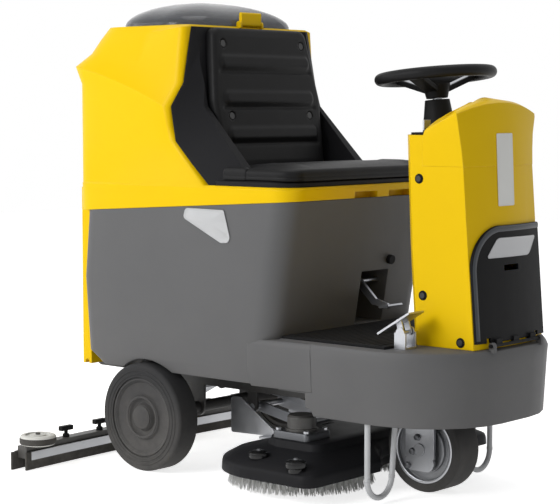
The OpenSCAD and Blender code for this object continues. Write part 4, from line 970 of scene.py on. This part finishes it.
rim_share = np.array([1, 0.9, 0.3, 0.05, 0])
rim_rise = np.array([0.1, 1.2, 2.2, 1.2, 0.1])[:, None]
y, z = np.stack([rim_edge(RIM_WIDTH * share) for share in rim_share], axis=1)
add_grid("hatch_rim", from_axle(column_front(y, z) + HATCH_FACE + rim_rise, y, z), rim_painted_highlight,
         "hatch", crisp=False, closed_u=False, caps=False)
print("rim points:", y.shape)

# %% [markdown]
# ## Brush deck
# The deck is one moulded cover over both brushes: straight in front, round at its rear corners,
# stepped, and notched for the steered wheel. Boolean cuts could make the notch, but they leave
# ragged faces, so each ring simply stays behind the wheel's circle. The outline is sampled by angle,
# so that rings of different proportions join without a twist.

# %% Brush deck
SKIRT = (618, 239, 380, 34, 185)  # mm: front, back, half width, front and rear corner radius
STEP = (548, 345, 262, 30, 90)
SKIRT_ROWS = [(30, 72), (6, 72), (6, 50.5), (0, 50), (1, 66), (2, 72), (4, 77), (8, 80), (34, 94)]
STEP_ROWS = [(-12, 105), (-2, 110), (3, 120), (6, 126), (11, 128), (40, 128.5), (85, 128.5)]
DECK_MIDDLE, WHEEL_X, WHEEL_ROOM = (430, 0), 715, 142


def by_angle(corners, centre, count):
    """A rounded outline at even angles round centre: its radius is read off by angle."""
    x, y = (rounded_outline(corners, 3000) - np.array(centre)).T
    angle = np.linspace(-math.pi, math.pi, count, endpoint=False)
    far = np.interp(angle, np.arctan2(y, x), np.hypot(x, y), period=math.tau)
    return np.array(centre) + heading(angle) * far[:, None]


def deck_ring(form, inset):
    """A ring of the deck in plan, drawn in by inset. Where the wheel turns, it stays behind
    x = wheel - sqrt(room^2 - y^2)."""
    front, back, half, front_radius, back_radius = form
    corners = [(front - inset, half - inset, front_radius),
               (back + inset, half - inset, back_radius - max(inset, 0))]
    x, y = by_angle(mirrored(corners), DECK_MIDDLE, 480).T
    notch = WHEEL_X - np.sqrt(np.maximum(WHEEL_ROOM ** 2 - y ** 2, 0.0))
    return np.stack([np.where(np.abs(y) < WHEEL_ROOM, np.minimum(x, notch), x), y], axis=-1)


deck_plan = np.stack([deck_ring(SKIRT, inset) for inset, z in SKIRT_ROWS]
                     + [deck_ring(STEP, inset) for inset, z in STEP_ROWS])
deck_z = np.array([z for inset, z in SKIRT_ROWS + STEP_ROWS])[:, None]
add_grid("deck_cover", lifted(deck_plan, deck_z), shell_moulding, "deck",
         stands_for=("brush_deck",))
print("deck rings:", deck_plan.shape[:2])

# %% [markdown]
# Clamp knobs, motor mounts with their motors and bolts, and zinc uprights sit on the deck. Left and
# right are alike, so one loop makes both sides with the sign of y. A Mirror modifier would turn
# faces over and leave both sides in one piece.

# %% Deck fittings
KNOB = [(19, 80), (19, 90), (25, 93), (26, 99), (24, 106), (17, 110), (8, 111)]
STUD = [(6, 110), (6, 113), (4, 115)]
MOTOR_CASE = [(40, 146), (40, 152), (36, 153), (36, 180), (32, 185)]
MOUNT_BOLT = [(7, 146), (7, 152), (5, 153)]
MOUNT = [(56, 48, 10), (-56, 48, 10), (-56, -48, 10), (56, -48, 10)]
MOUNT_SHARES, MOUNT_Z = (1, 1, 0.96, 0.7), np.array([128, 142, 146, 146])[:, None]
UPRIGHT = [(138, 92, 6), (252, 96, 4), (292, 96, 4), (292, 108, 4), (172, 186, 8), (138, 186, 8)]
FOOT = [(252, 91, 1), (292, 91, 1), (292, 97, 1), (252, 97, 1)]


def upright_plate(name, corners, sides, material, body):
    """A flat plate of a rounded outline in (x, z) between two sides in y, with eased edges."""
    edge = rounded_outline(corners, 160)
    faces = scaled_rings(edge, edge.mean(axis=0), (0.98, 1, 1, 0.98))
    y = np.repeat(sorted(sides, reverse=True), 2)[:, None]
    add_grid(name, from_axle(faces[..., 0], y, faces[..., 1]), material, body)


for label, sign in SIDES:
    for k, (x, y) in enumerate(((420, 330), (560, 358))):
        turned(f"deck_knob_{label}_{k}", (x, sign * y), KNOB, 48, gloss_black, "deck")
        turned(f"knob_stud_{label}_{k}", (x, sign * y), STUD, 20, cast_dark, "deck")
    centre = np.array([446.0, sign * 200.0])
    plan = centre + scaled_rings(rounded_outline(MOUNT, 120), (0, 0), MOUNT_SHARES)
    add_grid(f"motor_mount_{label}", lifted(plan, MOUNT_Z), cast_dark, "deck",
             stands_for=("brush_motors",))
    turned(f"motor_case_{label}", centre, MOTOR_CASE, 64, black_paint, "deck")
    for k, place in enumerate(((-44, -36), (44, -36), (-44, 36), (44, 36))):
        turned(f"mount_bolt_{label}_{k}", centre + place, MOUNT_BOLT, 6, zinc, "deck")
    upright_plate(f"deck_upright_{label}", UPRIGHT, (sign * 113, sign * 119), zinc, "deck")
    upright_plate(f"upright_foot_{label}", FOOT, (sign * 113, sign * 139), zinc, "deck")
print("deck fittings on", len(SIDES), "sides")

# %% [markdown]
# ## Drive wheel and fork
# The drive wheel's rim has a bright ring on each side, and three bolt heads show on each leg of the
# fork. A torus could be scaled flat for the ring, but a profile that is turned round the wheel's own
# axle sits flush on the rim. The rings ride on the wheel, and the bolts ride on the fork.

# %% Drive wheel and fork
FORK_BOLT = [(9, 0), (9, 3), (7.5, 4.5), (7.2, 8), (5, 9)]  # mm: radius, height
FORK_BOLTS = ((0.370, 0.102), (0.356, 0.066), (0.384, 0.138))  # metres: x, z
RIM_RING, RIM_RING_HALF, RIM_RING_RISE = 0.765, 0.045, 0.004  # two shares of the radius, metres


def axle_of(node):
    """(x, z) of the middle of a solid's box."""
    low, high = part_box(node)
    return (low.x + high.x) / 2, (low.z + high.z) / 2


def side_of(node, sign):
    """y of a solid's left side for sign 1, or of its right side for -1."""
    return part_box(node)[1 if sign > 0 else 0].y


tyre_low, tyre_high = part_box("drive_tyre")
drive_radius = (tyre_high.z - tyre_low.z) / 2
for label, sign in SIDES:
    ring_across(f"rim_ring_{label}", axle_of("drive_tyre"), drive_radius * RIM_RING,
                drive_radius * RIM_RING_HALF, side_of("drive_rim", sign), sign, RIM_RING_RISE,
                zinc, "drive_wheel")
    bolt = outward(FORK_BOLT, side_of("drive_fork", sign), sign)
    for k, place in enumerate(FORK_BOLTS):
        turned_across(f"fork_bolt_{label}_{k}", place, bolt, 6 if k else 24, cast_dark, "fork")
print("drive wheel radius:", round(drive_radius, 4), "m")

# %% [markdown]
# ## Rear wheels
# Each rear wheel has a cap on its hub, two fine rings moulded into the hub and two into the tyre's
# wall. They could be a bump in the material, but seen from the side they catch the light along one
# edge, so they are turned as real ridges.

# %% Rear wheels
HUB_CAP = [(30, 0), (30, 2), (26, 4), (10, 5)]  # mm: radius, height
WHEEL_RINGS = (("hub", (0.052, 0.098), 0.003, 0.0022, hub_skin),  # metres: radii, half width, rise
               ("tyre", (0.112, 0.122), 0.002, 0.0016, tyre_skin))

for label, sign in SIDES:
    hub, wheel = f"rear_hub_{label}", f"rear_wheel_{label}"
    axle, cap = axle_of(hub), outward(HUB_CAP, side_of(hub, sign), sign)
    turned_across(f"hub_cap_{label}", axle, cap, 48, hub_skin, wheel)
    for kind, radii, half, height, skin in WHEEL_RINGS:
        side = side_of(f"rear_{kind}_{label}", sign)
        for k, radius in enumerate(radii):
            ring_across(f"{kind}_ring_{label}_{k}", axle, radius, half, side, sign, height, skin,
                        wheel)
print("rear axle at x, z:", [round(v, 4) for v in axle])

# %% [markdown]
# ## Guide rollers
# The squeegee's guide rollers are white nylon with a black band that takes the knocks from walls.
# The band could be a second material on the solid, but CAD solids keep one, so it is a thin sleeve
# that takes its size from the roller's box.

# %% Guide rollers
for label in ("left", "right"):
    low, high = (np.array(corner) * 1000.0 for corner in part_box(f"roller_{label}"))
    middle, radius = (low + high) / 2 + [AXLE, 0, 0], (high[0] - low[0]) / 2
    band = [(radius - 1, low[2] + 3), (radius + 0.8, low[2] + 6), (radius + 0.8, high[2] - 8),
            (radius - 1, high[2] - 5)]
    turned(f"roller_band_{label}", middle, band, 96, rubber_skin, f"{label}_roller", crisp=False,
           caps=False)
print("band radius:", round(radius + 0.8, 1), "mm")

# %% [markdown]
# ## Cups under the column's screws
# Each screw in the column's side sits in a shallow black cup. It is turned as the bolts are, and its
# last row dips towards the screw.

# %% Screw cups
SCREW_CUP = [(11.5, 0), (11.5, 1.2), (10, 2.2), (7.4, 1.8)]  # mm: radius, height
COLUMN_SCREWS = ((0.447, 0.771), (0.460, 0.497), (0.568, 0.394))  # metres: x, z

for label, sign in SIDES:
    cup = outward(SCREW_CUP, sign * COLUMN_HALF / 1000.0, sign)
    for k, place in enumerate(COLUMN_SCREWS):
        turned_across(f"screw_cup_{label}_{k}", place, cup, 48, black_moulding, "chassis")
print("screw cups:", len(SIDES) * len(COLUMN_SCREWS))

# %% [markdown]
# ## Lid
# The lid is blown from one clear sheet: a rounded rectangle that swells into a low dome. The shell's
# inner wall is made first, from the crown down, and the outer wall follows from the lip up, so one
# closed skin has both walls and light bends in it as in real plastic. Its hinge knuckle rides along.

# %% Lid
LID_X, LID_LONG, LID_WIDE, LID_WALL, LID_LIP = -66, 158, 226, 4, 6  # mm, half sizes
KNUCKLE = [(0.006, -0.038), (0.008, -0.036), (0.008, 0.036), (0.006, 0.038)]  # metres
PIN = [(0.003, -0.049), (0.004, -0.048), (0.004, 0.048), (0.003, 0.049)]

lid_base, lid_top = (corner.z * 1000.0 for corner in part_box("dome_lid"))
lid_corners = [(LID_X + LID_LONG, LID_WIDE, 92), (LID_X - LID_LONG, LID_WIDE, 150)]
shares = np.concatenate([[0.02, 0.2, 0.4, 0.55, 0.68], np.linspace(0.78, 1.0, 12)])
dome = LID_LIP + (lid_top - lid_base - LID_LIP) * (1 - shares ** 2) ** 0.6
inner = shares * (1 - LID_WALL / LID_LONG)
lid_shares = np.concatenate([inner, inner[-1:], [1.0], shares[::-1]])
lid_z = lid_base + np.concatenate([dome - LID_WALL, [0.0, 0.0], dome[::-1]])[:, None]
plan = scaled_rings(rounded_outline(mirrored(lid_corners), 240), (LID_X, 0.0), lid_shares)
add_grid("lid_shell", lifted(plan, lid_z), smoked, "lid", stands_for=("dome_lid",))
hinge = ((LID_X - LID_LONG - 8.0 - AXLE) / 1000.0, (lid_base + 6.0) / 1000.0)
turned_across("lid_knuckle", hinge, KNUCKLE, 32, black_moulding, "lid")
turned_across("lid_pin", hinge, PIN, 24, zinc, "lid")
print("lid rows:", plan.shape[:2])

# %% [markdown]
# ## Cheeks between tank and platform
# On the real machine the tank's side runs on into the platform's side without a step. Two moulded
# cheeks fill the groove between both: in plan an S-curve leaves the tank's side and meets the
# platform's side along the same line, and the rows of the loft follow the draft of both walls.

# %% Cheeks
CHEEK_REAR, CHEEK_FRONT = 44, 230  # mm in the machine's frame
cheek_z = np.array([257, 264, 280, 298, 330, 360, 367, 372, 375])[:, None]
tank_side = np.interp(cheek_z, [257, 264, 298, 360, 367, 372, 375],
                      [285.0, 289.2, 299.6, 300.5, 299.6, 297.5, 294.0])
platform_side = np.interp(cheek_z, [257, 360, 367, 372, 375], [277.6, 284.3, 282.2, 280.0, 277.0])
run = np.linspace(0, 1, 40)
outer_y = tank_side + (platform_side - tank_side) * (3 * run ** 2 - 2 * run ** 3)
inner_y = np.concatenate([platform_side - 3, platform_side - 8, np.full_like(tank_side, 256),
                          np.full_like(tank_side, 280), tank_side - 3], axis=1)
cheek_x = np.concatenate([CHEEK_REAR + (CHEEK_FRONT - CHEEK_REAR) * run,
                          [CHEEK_FRONT, 140, 118, 84, CHEEK_REAR]])
cheek_y = np.concatenate([outer_y, inner_y], axis=1)
for label, sign in SIDES:
    points = in_frame(cheek_x[::-sign], sign * cheek_y[:, ::-sign], cheek_z)
    add_grid(f"platform_cheek_{label}", points, grey_skin, "chassis")
print("cheek rows:", cheek_y.shape)

# %% [markdown]
# ## Hood
# The column ends in a hood that widens upwards and arches over the dash. A subdivided box could be
# pulled into that shape by hand, but the bow and the arch are parabolas, so it is a loft of closed
# rings: each has a bowed front, two sides that spread from the dash to the front corners, and an
# arched back, and the last rings close its top.

# %% Hood
HOOD_ROWS = [  # mm: front corner z, arch, back z, back arch, corner x, bow, half, back x, back half
    (800, 0, 800, 0, 883, 19.8, 146.4, 766, 146.3), (840, 0, 832, 0, 880, 21, 150, 766, 146.4),
    (873, 0, 858, 0, 877.5, 22, 155, 766, 146.4), (897, 6, 872, 10, 877, 21.5, 160, 768, 146.4),
    (914, 16, 882, 25, 876.5, 20, 164, 772, 146.4), (922, 26, 888, 40, 875, 18, 165, 778, 146.4),
    (926, 28, 893, 42, 869, 14, 160, 788, 141), (929, 28, 899, 42, 852, 12, 138, 796, 122),
    (934, 27, 909, 41, 836, 6, 70, 804, 62)]


def hood_ring(corner_z, arch, back_z, back_arch, corner_x, bow, half, back_x, back_half):
    """One ring: parabolas across front and back, 1 - (y / half)^2 times bow or arch, and straight
    sides between them."""
    share = np.linspace(0, 1, 18)[1:-1, None]
    y_front, y_back = np.linspace(-half, half, 61), np.linspace(back_half, -back_half, 31)
    u_front, u_back = 1 - (y_front / half) ** 2, 1 - (y_back / back_half) ** 2
    rear, fore = np.array([back_x, back_half, back_z]), np.array([corner_x, half, corner_z])
    side = rear + (fore - rear) * share
    front = np.stack([corner_x + bow * u_front, y_front, corner_z + arch * u_front], axis=-1)
    back = np.stack([np.full(31, back_x), y_back, back_z + back_arch * u_back], axis=-1)
    return np.concatenate([side * [1, -1, 1], front, side[::-1], back])


hood = np.stack([hood_ring(*row) for row in HOOD_ROWS])
add_grid("column_hood", from_axle(*np.moveaxis(hood, -1, 0)), yellow_skin, "chassis")
print("hood rings:", hood.shape[:2])
